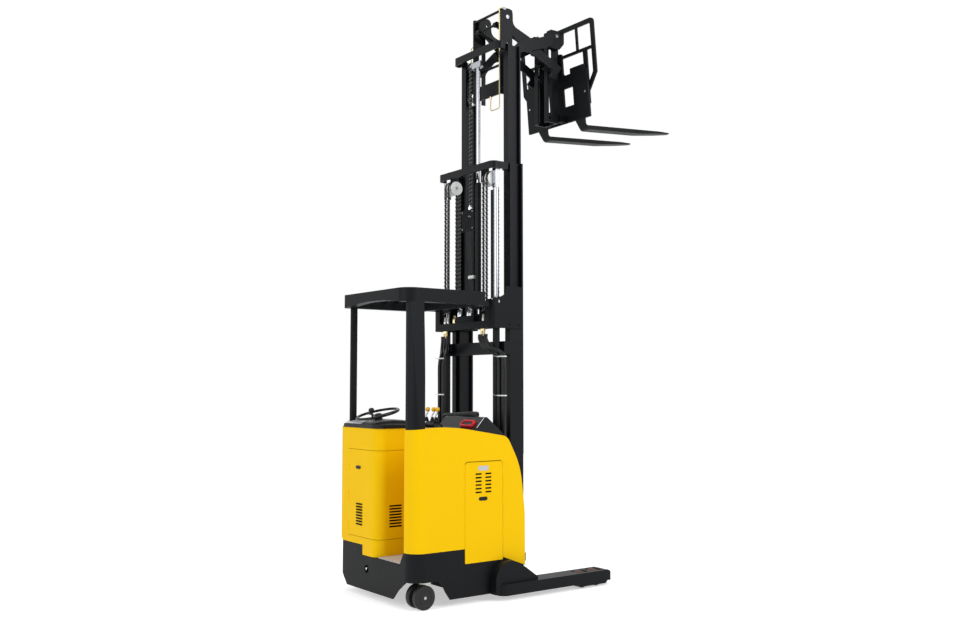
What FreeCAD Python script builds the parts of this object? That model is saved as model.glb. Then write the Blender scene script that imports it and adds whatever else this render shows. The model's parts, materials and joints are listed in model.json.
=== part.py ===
"""Stand-up reach truck: a parametric model, in millimetres.

+X points forward along the forks, +Y to the left, +Z up.  The origin lies on
the floor under the middle of the truck's overall box.  Lengths along X are
written from the rear face of the chassis and shifted by along().
"""
import FreeCAD, Part
import math
import os

import Sketcher

DRIVING = {
    # overall
    "body_half": 524, "rear_overhang": 40,
    # chassis
    "skirt_low": 50, "skirt_top": 400, "skirt_wall": 12, "deck_low": 300, "deck_wall": 10,
    "corner_radius": 110, "sill_top": 308, "caster_bay_top": 194, "caster_bay_length": 250,
    "caster_bay_half": 249, "battery_rear": 462, "battery_front": 796, "tray_low": 76,
    "mat_thick": 8, "tow_radius": 31, "skirt_front": 925, "battery_half": 488, "battery_top": 850,
    # yellow body
    "panel_wall": 4, "panel_top": 1295, "tower_top": 1272, "tower_right": -20,
    "tower_front": 450, "tower_radius": 85, "panel_front": 1020,
    "door_low": 292, "door_high": 1030, "door_rear": 452, "door_front": 801, "door_wall": 3,
    "door_gap": 5, "vent_slot": 6, "rear_door_side": 400, "rear_door_left": 420,
    "rear_door_low": 438, "rear_door_high": 1107, "hinge_radius": 4.6,
    # controls
    "wheel_x": 134, "wheel_y": 205, "wheel_z": 1378, "wheel_radius": 165, "wheel_lean": 13.5,
    "lever_x": 515,
    # overhead guard
    "guard_top": 2317, "guard_deep": 103, "guard_half": 470, "guard_front": 795, "post_size": 56,
    "pillar_long": 122, "pillar_in": 395, "bracket_low": 2048,
    # mast
    "mast_half": 399, "mast_rear": 977, "mast_depth": 130, "mast_low": 60, "mast_top": 2380,
    "rail_flange": 50, "rail_wall": 14, "rail_web": 12, "rail_in": 25, "brace_x": 917,
    "stage_shift": 21, "stage_lift": 1000, "stage_gap": 5.5,
    # lift gear
    "lift_x": 884, "lift_y": 340, "lift_tube": 28, "lift_rod": 20, "lift_tube_top": 2060,
    "pulley_radius": 56, "pulley_wide": 36, "pulley_x": 885, "pulley_z": 3250,
    "free_x": 957, "free_tube": 26, "free_rod": 18,
    # legs and wheels
    "leg_outer": 625, "leg_inner": 460, "leg_low": 38, "leg_top": 122, "leg_wall": 14,
    "leg_rear": 722, "leg_front": 1860, "load_radius": 63.5, "load_wide": 84,
    "load_rear": 1560, "load_pitch": 148, "gusset_outer": 595,
    "drive_radius": 125, "drive_wide": 90, "drive_x": 215, "drive_y": 262,
    "caster_radius": 87, "caster_wide": 45, "caster_pitch": 90, "caster_x": 147,
    "caster_y": -450, "caster_trail": 36,
    # reach gear, at rest
    "pin_x": 1116, "pin_z": 4659, "hub_x": 1352, "hub_z": 4468, "front_x": 1672, "front_z": 4618,
    "arm_wide": 90, "arm_wall": 16, "reach_half": 178, "pin_radius": 15, "front_half": 88,
    "base_x": 1054, "base_z": 4601, "eye_x": 1451, "eye_z": 4468,
    # forks and carriage
    "fork_wide": 100, "fork_thick": 36, "fork_long": 1108, "fork_centre": 250, "fork_face": 1853,
    "fork_low": 3799, "plate_low": 3885, "plate_half": 410, "plate_high": 415, "rest_half": 490,
    "rest_high": 839, "tilt_angle": 5, "tilt_x": 1790, "tilt_z": 3920, "tilt_rod_x": 1758,
    "tilt_rod_z": 4420, "tilt_tube_x": 1727,
}


class Size:
    """A length with its number and the formula that the document keeps for it."""

    def __init__(self, number, formula):
        self.number = number
        self.formula = formula

    @staticmethod
    def of(value):
        """Wrap a plain number; leave a Size as it is."""
        return value if isinstance(value, Size) else Size(float(value), repr(float(value)))

    def _join(self, other, sign, number):
        return Size(number, f"({self.formula} {sign} {other.formula})")

    def __add__(self, other):
        other = Size.of(other)
        return self._join(other, "+", self.number + other.number)

    def __sub__(self, other):
        other = Size.of(other)
        return self._join(other, "-", self.number - other.number)

    def __mul__(self, other):
        other = Size.of(other)
        return self._join(other, "*", self.number * other.number)

    def __truediv__(self, other):
        other = Size.of(other)
        return self._join(other, "/", self.number / other.number)

    def __radd__(self, other):
        return Size.of(other) + self

    def __rsub__(self, other):
        return Size.of(other) - self

    def __rmul__(self, other):
        return Size.of(other) * self

    def __neg__(self):
        return Size(-self.number, f"(0 - {self.formula})")


doc = FreeCAD.newDocument("reach_truck")
sheet = doc.addObject("Spreadsheet::Sheet", "dims")
for row, (word, number) in enumerate(DRIVING.items(), start=1):
    sheet.set(f"A{row}", word)
    sheet.set(f"B{row}", str(number))
    sheet.setAlias(f"B{row}", word)
doc.recompute()


class Dims:
    """Gives each cell of the sheet as a Size, by its alias."""

    def __getattr__(self, word):
        return Size(float(sheet.get(word)), f"dims.{word}")


d = Dims()
TILT = math.radians(d.tilt_angle.number)
FORK_TIP = (d.tilt_x + (d.fork_face + d.fork_long - d.tilt_x) * math.cos(TILT)
            - (d.fork_low + d.fork_thick - d.tilt_z) * math.sin(TILT))
ORIGIN = (FORK_TIP - d.rear_overhang) / 2


def along(x):
    """Turn a distance from the chassis' rear face into one from the origin."""
    return Size.of(x) - ORIGIN


# ---------------------------------------------------------------- helpers

nodes = {}
BARREL_SPANS = ((480, 540), (930, 990))
KNUCKLE_SPAN = (700, 780)


def bind(obj, **values):
    """Set properties, binding every Size to its formula."""
    for name, value in values.items():
        name = name.replace("__", ".")
        if isinstance(value, Size):
            obj.setExpression(name, value.formula)
        else:
            setattr(obj, name, value)


def move(obj, x=0, y=0, z=0):
    """Bind an object's place."""
    for axis, value in zip("xyz", (x, y, z)):
        obj.setExpression(f"Placement.Base.{axis}", Size.of(value).formula)
    return obj


def box(name, x0, x1, y0, y1, z0, z1):
    """A block between two corners, with X from the rear face."""
    made = doc.addObject("Part::Box", name)
    bind(made, Length=Size.of(x1) - x0, Width=Size.of(y1) - y0, Height=Size.of(z1) - z0)
    return move(made, along(x0), y0, z0)


TURNS = {
    "X": FreeCAD.Rotation(FreeCAD.Vector(0, 1, 0), 90),
    "Y": FreeCAD.Rotation(FreeCAD.Vector(1, 0, 0), -90),
    "Z": FreeCAD.Rotation(),
}


def rod(name, axis, x, y, z, radius, length):
    """A cylinder from one end's centre, along +axis."""
    made = doc.addObject("Part::Cylinder", name)
    made.Placement = FreeCAD.Placement(FreeCAD.Vector(), TURNS[axis])
    bind(made, Radius=Size.of(radius), Height=Size.of(length))
    return move(made, along(x), y, z)


def cone(name, x, y, z, low_radius, high_radius, height):
    """A cone's frustum standing at a place."""
    made = doc.addObject("Part::Cone", name)
    bind(made, Radius1=Size.of(low_radius), Radius2=Size.of(high_radius), Height=Size.of(height))
    return move(made, along(x), y, z)


def pin_point(sketch, number, end, u, v):
    """Hold one point of a sketch's geometry at a bound place."""
    for kind, value in (("DistanceX", Size.of(u)), ("DistanceY", Size.of(v))):
        held = sketch.addConstraint(Sketcher.Constraint(kind, -1, 1, number, end, value.number))
        sketch.setExpression(f"Constraints[{held}]", value.formula)


def join_points(sketch, first, first_end, second, second_end):
    """Make two ends of a sketch's geometry meet."""
    sketch.addConstraint(Sketcher.Constraint("Coincident", first, first_end, second, second_end))


def round_corner(sketch, corner, point, back, ahead):
    """Add the arc that rounds a corner, held by its ends and its radius.

    Gives the arc's number, which of its ends comes first, and both end points.
    """
    u, v, radius = (Size.of(value) for value in point)
    half = back.getAngle(ahead) / 2
    reach = 1 / math.tan(half)
    size = radius.number
    first, last = corner + back * (reach * size), corner + ahead * (reach * size)
    bulge = (back + ahead).normalize() * (size / math.sin(half) - size)
    near = 1 if ahead.cross(back).z > 0 else 2
    ends = (first, last) if near == 1 else (last, first)
    number = sketch.addGeometry(Part.Arc(ends[0], corner + bulge, ends[1]))
    for end, way in ((near, back * reach), (3 - near, ahead * reach)):
        pin_point(sketch, number, end, u + radius * way.x, v + radius * way.y)
    held = sketch.addConstraint(Sketcher.Constraint("Radius", number, size))
    sketch.setExpression(f"Constraints[{held}]", radius.formula)
    return number, near, first, last


def draw(sketch, points):
    """Draw a closed outline; a third value rounds that corner."""
    corners = [FreeCAD.Vector(Size.of(p[0]).number, Size.of(p[1]).number, 0) for p in points]
    count = len(corners)
    arcs = []
    for i, corner in enumerate(corners):
        back = (corners[i - 1] - corner).normalize()
        ahead = (corners[(i + 1) % count] - corner).normalize()
        rounded = len(points[i]) > 2
        arcs.append(round_corner(sketch, corner, points[i], back, ahead) if rounded
                    else (None, None, corner, corner))
    lines = [sketch.addGeometry(Part.LineSegment(arcs[i][3], arcs[(i + 1) % count][2]))
             for i in range(count)]
    for i, (arc, near, _, _) in enumerate(arcs):
        before, after = lines[i - 1], lines[i]
        if arc is None:
            join_points(sketch, before, 2, after, 1)
            pin_point(sketch, after, 1, *points[i])
        else:
            join_points(sketch, before, 2, arc, near)
            join_points(sketch, arc, 3 - near, after, 1)


def draw_circle(sketch, u, v, radius):
    """Draw a circle held by its centre and radius."""
    u, v, radius = Size.of(u), Size.of(v), Size.of(radius)
    centre = FreeCAD.Vector(u.number, v.number, 0)
    number = sketch.addGeometry(Part.Circle(centre, FreeCAD.Vector(0, 0, 1), radius.number))
    pin_point(sketch, number, 3, u, v)
    held = sketch.addConstraint(Sketcher.Constraint("Radius", number, radius.number))
    sketch.setExpression(f"Constraints[{held}]", radius.formula)


PLANES = {
    "XY": FreeCAD.Rotation(),
    "XZ": FreeCAD.Rotation(FreeCAD.Vector(1, 0, 0), 90),
    "YZ": FreeCAD.Rotation(FreeCAD.Vector(1, 1, 1), 120),
}
NORMALS = {"XY": ("z", 1), "XZ": ("y", -1), "YZ": ("x", 1)}


def outline_sketch(name, plane, outline, level, holes=(), circles=()):
    """A sketch in one of the three planes, at a level along that plane's normal."""
    sketch = doc.addObject("Sketcher::SketchObject", name + "_sketch")
    sketch.Placement = FreeCAD.Placement(FreeCAD.Vector(), PLANES[plane])
    draw(sketch, outline)
    for hole in holes:
        draw(sketch, hole)
    for circle in circles:
        draw_circle(sketch, *circle)
    axis = NORMALS[plane][0]
    level = along(level) if axis == "x" else Size.of(level)
    sketch.setExpression(f"Placement.Base.{axis}", level.formula)
    if axis != "x":
        sketch.setExpression("Placement.Base.x", (-ORIGIN).formula)
    return sketch


def slab(name, plane, outline, start, end, holes=(), circles=()):
    """Extrude an outline drawn in a plane from one level to another.

    Outlines in XY and XZ give X from the rear face, and are moved as a whole.
    """
    made = doc.addObject("Part::Extrusion", name)
    made.Base = outline_sketch(name, plane, outline, start, holes, circles)
    made.DirMode = "Normal"
    made.Solid = True
    bind(made, LengthFwd=(Size.of(end) - start) * NORMALS[plane][1])
    return made


def tapered(name, outline, foot_y, head_y, low, high):
    """An upright whose outer side leans in from its foot to its head."""
    made = doc.addObject("Part::MultiCommon", name)
    made.Shapes = [slab(name + "_plan", "XY", outline, low, high),
                   slab(name + "_lean", "YZ",
                        [(0, low - 1), (0, high + 1), (head_y, high + 1), (foot_y, low - 1)],
                        -5, 400)]
    return made


def leaned(obj, x, z, angle):
    """Turn a piece about a line along Y, so that its top goes back."""
    centre = FreeCAD.Vector(along(x).number, 0, Size.of(z).number)
    turn = FreeCAD.Rotation(FreeCAD.Vector(0, 1, 0), -Size.of(angle).number)
    obj.Placement = FreeCAD.Placement(FreeCAD.Vector(), turn, centre)
    return obj


def sorted_pair(a, b):
    """Two Sizes, lowest first."""
    return (a, b) if a.number < b.number else (b, a)


def fuse(name, *parts):
    """Join touching or overlapping parts into one solid."""
    made = doc.addObject("Part::MultiFuse", name)
    made.Shapes = list(parts)
    made.Refine = True
    return made


def cut(name, base, *tools):
    """Take tools away from a base."""
    for number, tool in enumerate(tools):
        made = doc.addObject("Part::Cut", name if number == len(tools) - 1 else f"{name}_{number}")
        made.Base, made.Tool = base, tool
        made.Refine = True
        base = made
    return base


def group(name, *parts):
    """Keep parts that don't touch in one node."""
    made = doc.addObject("Part::Compound", name)
    made.Links = list(parts)
    return made


def mirror(name, part):
    """A part's twin on the other side of the truck's middle plane."""
    made = doc.addObject("Part::Mirroring", name)
    made.Source = part
    made.Normal = FreeCAD.Vector(0, 1, 0)
    return made


def node(obj, label=None):
    """Name an object as one of the truck's pieces."""
    obj.Label = label or obj.Name
    nodes[obj.Label] = obj
    return obj


def plane_of(body, role):
    """Find one of a body's own origin planes."""
    return next(f for f in body.Origin.OriginFeatures if f.Role == role)


def wheel_body(name, profile, x, y, z):
    """A turned piece whose axle runs along Y: profile gives (radius, along axle)."""
    body = doc.addObject("PartDesign::Body", name)
    sketch = body.newObject("Sketcher::SketchObject", name + "_profile")
    sketch.AttachmentSupport = (plane_of(body, "YZ_Plane"), [""])
    sketch.MapMode = "FlatFace"
    draw(sketch, [(along_axle, radius) for radius, along_axle in profile])
    turned = body.newObject("PartDesign::Revolution", name + "_turned")
    turned.Profile = sketch
    turned.ReferenceAxis = (sketch, ["H_Axis"])
    turned.Angle = 360
    doc.recompute()
    move(body, along(x), y, z)
    return body


# ---------------------------------------------------------------- chassis

def chassis():
    """The skirted frame, its deck, battery tray and caster bay."""
    half, wall, front = d.body_half, d.skirt_wall, d.skirt_front
    inner_half, plate = half - wall, d.deck_wall
    outer = slab("skirt_outer", "XY",
                 [(0, half, 30), (0, -half, d.corner_radius), (front, -half), (front, half)],
                 d.skirt_low, d.skirt_top)
    inner_outline = [(wall, inner_half, 20), (wall, -inner_half, d.corner_radius - wall),
                     (front - wall, -inner_half), (front - wall, inner_half)]
    inner = slab("skirt_inner", "XY", inner_outline, d.skirt_low - 10, d.skirt_top + 10)
    sill = slab("sill_notch", "YZ",
                [(192, d.skirt_top + 5), (192, d.sill_top), (-343, d.sill_top, 25),
                 (-392, d.skirt_top - 6), (-392, d.skirt_top + 5)], -5, wall + 1)
    step = box("rear_step", -5, wall + 1, 191, half + 5, d.skirt_top - 15, d.skirt_top + 5)
    heel = slab("left_heel", "YZ",
                [(half + 5, 155), (half, 155), (429, d.skirt_low - 2), (429, 40), (half + 5, 40)],
                -5, 300)
    bay_top = d.caster_bay_top
    bay_rear = slab("caster_bay_rear", "YZ",
                    [(-d.caster_bay_half, 40), (-d.caster_bay_half, 50), (-318, 120),
                     (-385, 167, 30), (-430, bay_top), (-half - 10, bay_top), (-half - 10, 40)],
                    -5, d.corner_radius + 5)
    bay_side = slab("caster_bay_side", "XZ",
                    [(-5, 40), (-5, bay_top), (235, bay_top, 60), (284, 105, 60),
                     (323, d.skirt_low), (323, 40)], d.corner_radius - half, -half - 10)
    lap_outline = [(d.door_front + 5, 302), (front + 5, 258), (front + 5, d.skirt_top + 5),
                   (d.door_front + 5, d.skirt_top + 5)]
    laps = [slab(f"panel_lap_{i}", "XZ", lap_outline, y, y - 10)
            for i, y in enumerate((half + 5.5, 4.5 - half))]
    tow = rod("tow_hole", "X", -5, 129, 212, d.tow_radius, wall + 10)
    shell = cut("skirt", outer, inner, sill, step, heel, bay_rear, bay_side, *laps, tow)
    tray_front = d.battery_front + 12
    feet = [box(f"cylinder_foot_{i}", tray_front, front - wall + 1, y - 36, y + 36,
                d.mast_low - 12, d.mast_low) for i, y in enumerate((d.lift_y, -d.lift_y))]
    node(fuse("chassis_frame", shell, *feet))
    tray_rear, deck_top = d.battery_rear - 10, d.deck_low + plate
    deck = slab("deck", "XY",
                [(wall, inner_half, 20), (wall, -inner_half, d.corner_radius - wall),
                 (tray_rear + 1, -inner_half), (tray_rear + 1, inner_half)], d.deck_low, deck_top,
                circles=[(d.drive_x, d.drive_y, d.drive_radius)])
    tray = [box("battery_tray", tray_rear, tray_front, -inner_half, inner_half, d.tray_low,
                d.tray_low + plate),
            box("tray_rear", tray_rear, d.battery_rear, -inner_half, inner_half, d.tray_low,
                d.skirt_top),
            box("tray_front", d.battery_front + 4, tray_front, -inner_half, inner_half, d.tray_low,
                d.skirt_top)]
    bay_front, bay_inner = d.caster_bay_length + 30, Size.of(-290)
    bay = [box("caster_plate", wall, bay_front + plate, -inner_half, bay_inner, bay_top,
               bay_top + plate),
           box("caster_bay_front", bay_front, bay_front + plate, -inner_half, bay_inner, bay_top,
               d.deck_low + 1),
           box("caster_bay_inner", wall, bay_front + plate, bay_inner - plate, bay_inner, bay_top,
               d.deck_low + 1)]
    inside = slab("bay_inside", "XY", inner_outline, bay_top - 5, d.skirt_top)
    bay_fit = doc.addObject("Part::MultiCommon", "caster_bay_fit")
    bay_fit.Shapes = [fuse("caster_bay", *bay), inside]
    node(fuse("deck_plates", deck, *tray, bay_fit))
    node(slab("floor_mat", "XY",
              [(wall + 2, -24), (d.tower_front - 2, -24), (d.tower_front - 2, -464), (192, -464),
               (112, -388), (wall + 2, -388)], deck_top, deck_top + d.mat_thick))


def battery():
    """The battery block and the two walls of its compartment."""
    node(box("battery", d.battery_rear + 4, d.battery_front - 4, -d.battery_half, d.battery_half,
             d.tray_low + d.deck_wall, d.battery_top))
    rear = box("battery_wall_rear", d.battery_rear - 10, d.battery_rear - 2, -d.body_half + 8,
               d.body_half - 8, d.skirt_top, 1262)
    front = box("battery_wall_front", d.battery_front + 4, d.battery_front + 12,
                -d.body_half + 8, d.body_half - 8, d.skirt_top, 1090)
    node(group("battery_walls", rear, front))


# ---------------------------------------------------------------- yellow body

def side_outline(top_inset=0):
    """The side panel's profile, open below where the battery door hangs."""
    top, gap = d.panel_top - top_inset, d.door_gap
    return [(0, d.skirt_top), (0, top - 16), (310, top + 8, 1500), (850, top - 82, 90),
            (975, top - 310, 600), (d.panel_front, 640, 1000), (d.panel_front, 228),
            (d.door_front + gap, 309), (d.door_front + gap, d.door_high + gap, 30),
            (d.door_rear - gap, d.door_high + gap, 30), (d.door_rear - gap, d.skirt_top)]


def side_panels():
    """Left panel as a plate; right panel with its hollow rear pillar and wall."""
    half, wall = d.body_half, d.panel_wall
    left = slab("panel_left_plate", "XZ", side_outline(), half - wall, half)
    plate = slab("right_plate", "XZ", side_outline(), -half, wall - half)
    inside, boundary = -d.pillar_in, d.battery_rear - 10
    outer = slab("right_wall_outer", "XY",
                 [(0, inside, 8), (d.pillar_long, inside, 15), (200, -470, 15), (boundary, -470),
                  (boundary, -half), (0, -half, d.corner_radius)], d.skirt_top, 1320)
    inner = slab("right_wall_inner", "XY",
                 [(wall, inside - wall, 5), (d.pillar_long - 2, inside - wall, 12),
                  (198, -470 - wall, 12), (boundary - wall, -470 - wall),
                  (boundary - wall, wall - half), (wall, wall - half, d.corner_radius - wall)],
                 d.skirt_top - 1, d.panel_top - 24)
    above = slab("above_panel", "XZ",
                 [(-5, 1340), (-5, d.panel_top - 16), (0, d.panel_top - 16),
                  (310, d.panel_top + 8, 1500), (850, d.panel_top - 82), (850, 1340)],
                 half + 5, -half - 5)
    square = box("plate_square", -5, d.corner_radius, -half - 5, -half + wall + 1, 390, 1340)
    right = fuse("panel_right_solid", cut("right_plate_cut", plate, square),
                 cut("right_wall", outer, inner, above))
    for side, panel, sign in (("left", left, 1), ("right", right, -1)):
        knuckle = hinge_rod(f"knuckle_{side}", d.door_front, door_axis(sign), *KNUCKLE_SPAN,
                            d.hinge_radius)
        tongue = box(f"tongue_{side}", d.door_front, d.door_front + d.door_gap + 1,
                     *sorted_pair((half - wall) * sign, (half + 0.5) * sign), *KNUCKLE_SPAN)
        node(fuse(f"side_panel_{side}", panel, knuckle, tongue))


def door_axis(sign):
    """Where the pin of a battery door's hinge lies across the truck."""
    return (d.body_half + 0.5 + d.door_wall) * sign


def hinge_rod(name, x, y, low, high, radius):
    """One barrel of an upright hinge, or the room for it."""
    return rod(name, "Z", x, y, low, radius, Size.of(high) - low)


def tower_shell(name):
    """The drive compartment's four walls, drawn as one rounded box."""
    wall, left, right = d.panel_wall, d.body_half - d.panel_wall, d.tower_right
    front = d.tower_front
    outer = slab(name + "_outer", "XY",
                 [(0, left, 6), (0, right, d.tower_radius), (front, right), (front, left)],
                 d.deck_low + d.deck_wall, d.tower_top)
    inner = slab(name + "_inner", "XY",
                 [(wall, left - wall, 3), (wall, right + wall, d.tower_radius - wall),
                  (front - wall, right + wall), (front - wall, left - wall)],
                 d.deck_low, d.tower_top + 5)
    return cut(name, outer, inner)


def vent_cutters(name, count, pitch, width, slot, low, place):
    """A column of slots as one tool: place says where a slot of that height lies."""
    return group(name, *[place(f"{name}_{i}", Size.of(low) + pitch * i, slot, width)
                         for i in range(count)])


def tower():
    """The drive compartment's cover and its rear door, which turns the corner."""
    shell = tower_shell("tower_shell")
    opening = box("rear_opening", -1, d.rear_door_side, d.tower_right - 1, d.rear_door_left,
                  d.rear_door_low, d.rear_door_high)
    step = box("tower_step", -1, d.skirt_wall + 1, 191.5, d.body_half, 290, d.skirt_top - 15)
    side = box("tower_side_step", -1, d.tower_front + 1, d.body_half - d.skirt_wall - 0.5,
               d.body_half, 290, d.skirt_top)
    pin_y, radius = d.rear_door_left - 3, d.hinge_radius
    room = [hinge_rod(f"cover_slot_{i}", 0, pin_y, *span, radius + 0.3)
            for i, span in enumerate(BARREL_SPANS)]
    knuckle = hinge_rod("cover_knuckle", 0, pin_y, *KNUCKLE_SPAN, radius)
    node(fuse("rear_cover", cut("cover_shell", shell, opening, step, side, *room), knuckle))
    gap = 3
    leaf = doc.addObject("Part::MultiCommon", "rear_leaf")
    leaf.Shapes = [tower_shell("door_shell"),
                   box("rear_leaf_box", -1, d.rear_door_side - gap, d.tower_right - 1,
                       d.rear_door_left - 0.3, d.rear_door_low + gap, d.rear_door_high - gap)]
    rear = vent_cutters("rear_vents", 8, 22, 88, 9, 530,
                        lambda name, z, slot, width:
                        box(name, -2, 10, 201, 201 + width, z, z + slot))
    side = vent_cutters("side_vents", 8, 22, 105, 9, 530,
                        lambda name, z, slot, width:
                        box(name, 111, 111 + width, d.tower_right - 2, d.tower_right + 10, z,
                            z + slot))
    notch = hinge_rod("rear_leaf_notch", 0, pin_y, *KNUCKLE_SPAN, radius + 0.3)
    barrels = [hinge_rod(f"rear_barrel_{i}", 0, pin_y, *inset(span), radius)
               for i, span in enumerate(BARREL_SPANS)]
    node(fuse("rear_door", cut("rear_leaf_cut", leaf, rear, side, notch), *barrels))


def inset(span):
    """A hinge barrel's span, a little shorter than its room."""
    return span[0] + 0.3, span[1] - 0.3


def battery_doors():
    """Outer leaves over the battery, each with two columns of slots and hinge barrels."""
    low, high = d.door_low, d.door_high
    for side, sign in (("right", -1), ("left", 1)):
        face = (d.body_half + 0.5) * sign
        leaf = slab(f"door_leaf_{side}", "XZ",
                    [(d.door_rear, low, 6), (d.door_rear, high, 24), (d.door_front, high, 24),
                     (d.door_front, low, 6)], face, face + d.door_wall * sign)
        across = sorted_pair(d.body_half * sign, (d.body_half + 10) * sign)
        slots = [box(f"slot_{side}_{column}_{i}", x, x + 50, *across, 803 + 27 * i,
                     803 + 27 * i + d.vent_slot)
                 for column, x in enumerate((549, 640)) for i in range(6)]
        notch = hinge_rod(f"leaf_notch_{side}", d.door_front, door_axis(sign), *KNUCKLE_SPAN,
                          d.hinge_radius + 0.3)
        barrels = [hinge_rod(f"barrel_{side}_{i}", d.door_front, door_axis(sign), *inset(span),
                             d.hinge_radius) for i, span in enumerate(BARREL_SPANS)]
        node(fuse(f"battery_door_{side}",
                  cut(f"leaf_cut_{side}", leaf, group(f"slots_{side}", *slots), notch), *barrels))


def console():
    """Dash with its tilted steering wheel."""
    top, right, left = d.tower_top, d.tower_right - 6, d.body_half - d.panel_wall - 0.5
    slab_top = slab("dash_slab", "XY",
                    [(-4, left, 30), (-4, right, d.tower_radius), (d.tower_front, right),
                     (d.tower_front, left)], top, top + 28)
    x, y, z = d.wheel_x, d.wheel_y, d.wheel_z
    hump = rod("dash_hump", "Z", x + 14, y, top + 20, 72, 34)
    column = group("wheel_column", rod("column_tube", "Z", x, y, z - 96, 30, 66))
    node(fuse("console_top", slab_top, hump, leaned(column, x, z, d.wheel_lean)))
    sides, grip = 8, 11
    turns = [math.tau * (i + 0.5) / sides for i in range(sides)]
    rim = wheel_body("wheel_rim", [(d.wheel_radius + grip * math.cos(a), Size.of(grip * math.sin(a)))
                                   for a in turns], x, y, z)
    rim.Placement = FreeCAD.Placement(rim.Placement.Base,
                                      FreeCAD.Rotation(FreeCAD.Vector(1, 0, 0), 90))
    hub = rod("wheel_hub", "Z", x, y, z - 29.7, 30, 36)
    spoke = box("wheel_spoke", x - 9, x + 9, y, y + d.wheel_radius, z - 5, z + 5)
    bar = box("wheel_bar", x - d.wheel_radius, x + d.wheel_radius, y - 9, y + 9, z - 5, z + 5)
    knob_x, knob_y = x - d.wheel_radius * 0.26, y + d.wheel_radius * 0.966
    stem = rod("wheel_knob_stem", "Z", knob_x, knob_y, z, 9, 44)
    knob = rod("wheel_knob", "Z", knob_x, knob_y, z + 36, 19, 34)
    wheel = group("wheel_parts", fuse("wheel_solid", rim, hub, spoke, bar, stem, knob))
    node(leaned(wheel, x, z, d.wheel_lean), "steering_wheel")


def cowl():
    """Moulded cover over the battery, with its ridge, levers, armrest and switch."""
    rear, half, wall = d.battery_rear - 9.5, d.body_half - 10, 7
    lip = [(rear, 1262), (rear, 1276)]
    front = [(850, 1200, 20), (850, 1085), (840, 1085), (rear + 7.5, 1262)]
    slope_low, slope_high = (565, 1276), (635, 1356)
    ridge = slab("ridge_outer", "XZ",
                 lip + [(*slope_low, 20), (*slope_high, 20), (662, 1363, 12), (797, 1253, 40)]
                 + front, 0, -half)
    under = slab("ridge_inner", "XZ",
                 [(460, 1070), (460, 1269), (568, 1269, 20), (640, 1348, 12), (660, 1354, 8),
                  (792, 1246, 36), (843, 1196, 14), (843, 1070)], -wall, wall - half)
    flat = slab("flat_outer", "XZ", lip + [(700, 1276, 60), (800, 1250, 60)] + front, half, 0)
    below = slab("flat_inner", "XZ",
                 [(460, 1070), (460, 1269), (698, 1269, 54), (795, 1243, 54), (843, 1196, 14),
                  (843, 1070)], half - wall, 0)
    node(fuse("mast_cowl", cut("ridge", ridge, under), cut("flat", flat, below)))
    spots = [(d.lever_x, y) for y in (73, -12, -68)]
    base = slab("lever_base", "XZ", [(474, 1276), (478, 1322, 20), (548, 1322, 26), (556, 1276)],
                104, -100)
    stems = [rod(f"lever_stem_{i}", "Z", x, y, 1310, 6, 90) for i, (x, y) in enumerate(spots)]
    node(fuse("control_levers", base, *stems))
    knobs = []
    for i, (x, y) in enumerate(spots):
        skirt = cone(f"lever_skirt_{i}", x, y, 1394, 12, 19, 10)
        waist = rod(f"lever_waist_{i}", "Z", x, y, 1404, 19, 14)
        crown = cone(f"lever_crown_{i}", x, y, 1418, 19, 10, 12)
        socket = rod(f"lever_socket_{i}", "Z", x, y, 1385, 6, 15)
        knobs.append(cut(f"lever_knob_{i}", fuse(f"lever_ball_{i}", skirt, waist, crown), socket))
    node(group("lever_knobs", *knobs))
    pad = slab("armrest_pad", "YZ",
               [(-272, 1352, 20), (-272, 1402, 22), (-190, 1398), (160, 1374, 6),
                (160, 1354, 6)], 702, 788)
    post = slab("armrest_post", "XZ",
                [(715, 1319.8), (715, 1360), (745, 1360), (745, 1295.4)], -90, -160)
    node(fuse("armrest", pad, post))
    run = (slope_high[0] - slope_low[0], slope_high[1] - slope_low[1])
    length = math.hypot(*run)
    across = (-run[1] / length, run[0] / length)

    def on_slope(share, height):
        """A point at a share of the slope's run, and so high above it."""
        return (slope_low[0] + run[0] * share + across[0] * height,
                slope_low[1] + run[1] * share + across[1] * height)

    ring = slab("switch_ring", "XZ", [on_slope(0.14, 0), (*on_slope(0.14, 22), 10),
                                      (*on_slope(0.9, 22), 10), on_slope(0.9, 0)], -210, -430)
    eye = slab("switch_eye", "XZ", [on_slope(0.34, -5), on_slope(0.34, 30), on_slope(0.7, 30),
                                    on_slope(0.7, -5)], -285, -360)
    node(cut("emergency_switch", ring, eye))


# ---------------------------------------------------------------- guard

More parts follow.
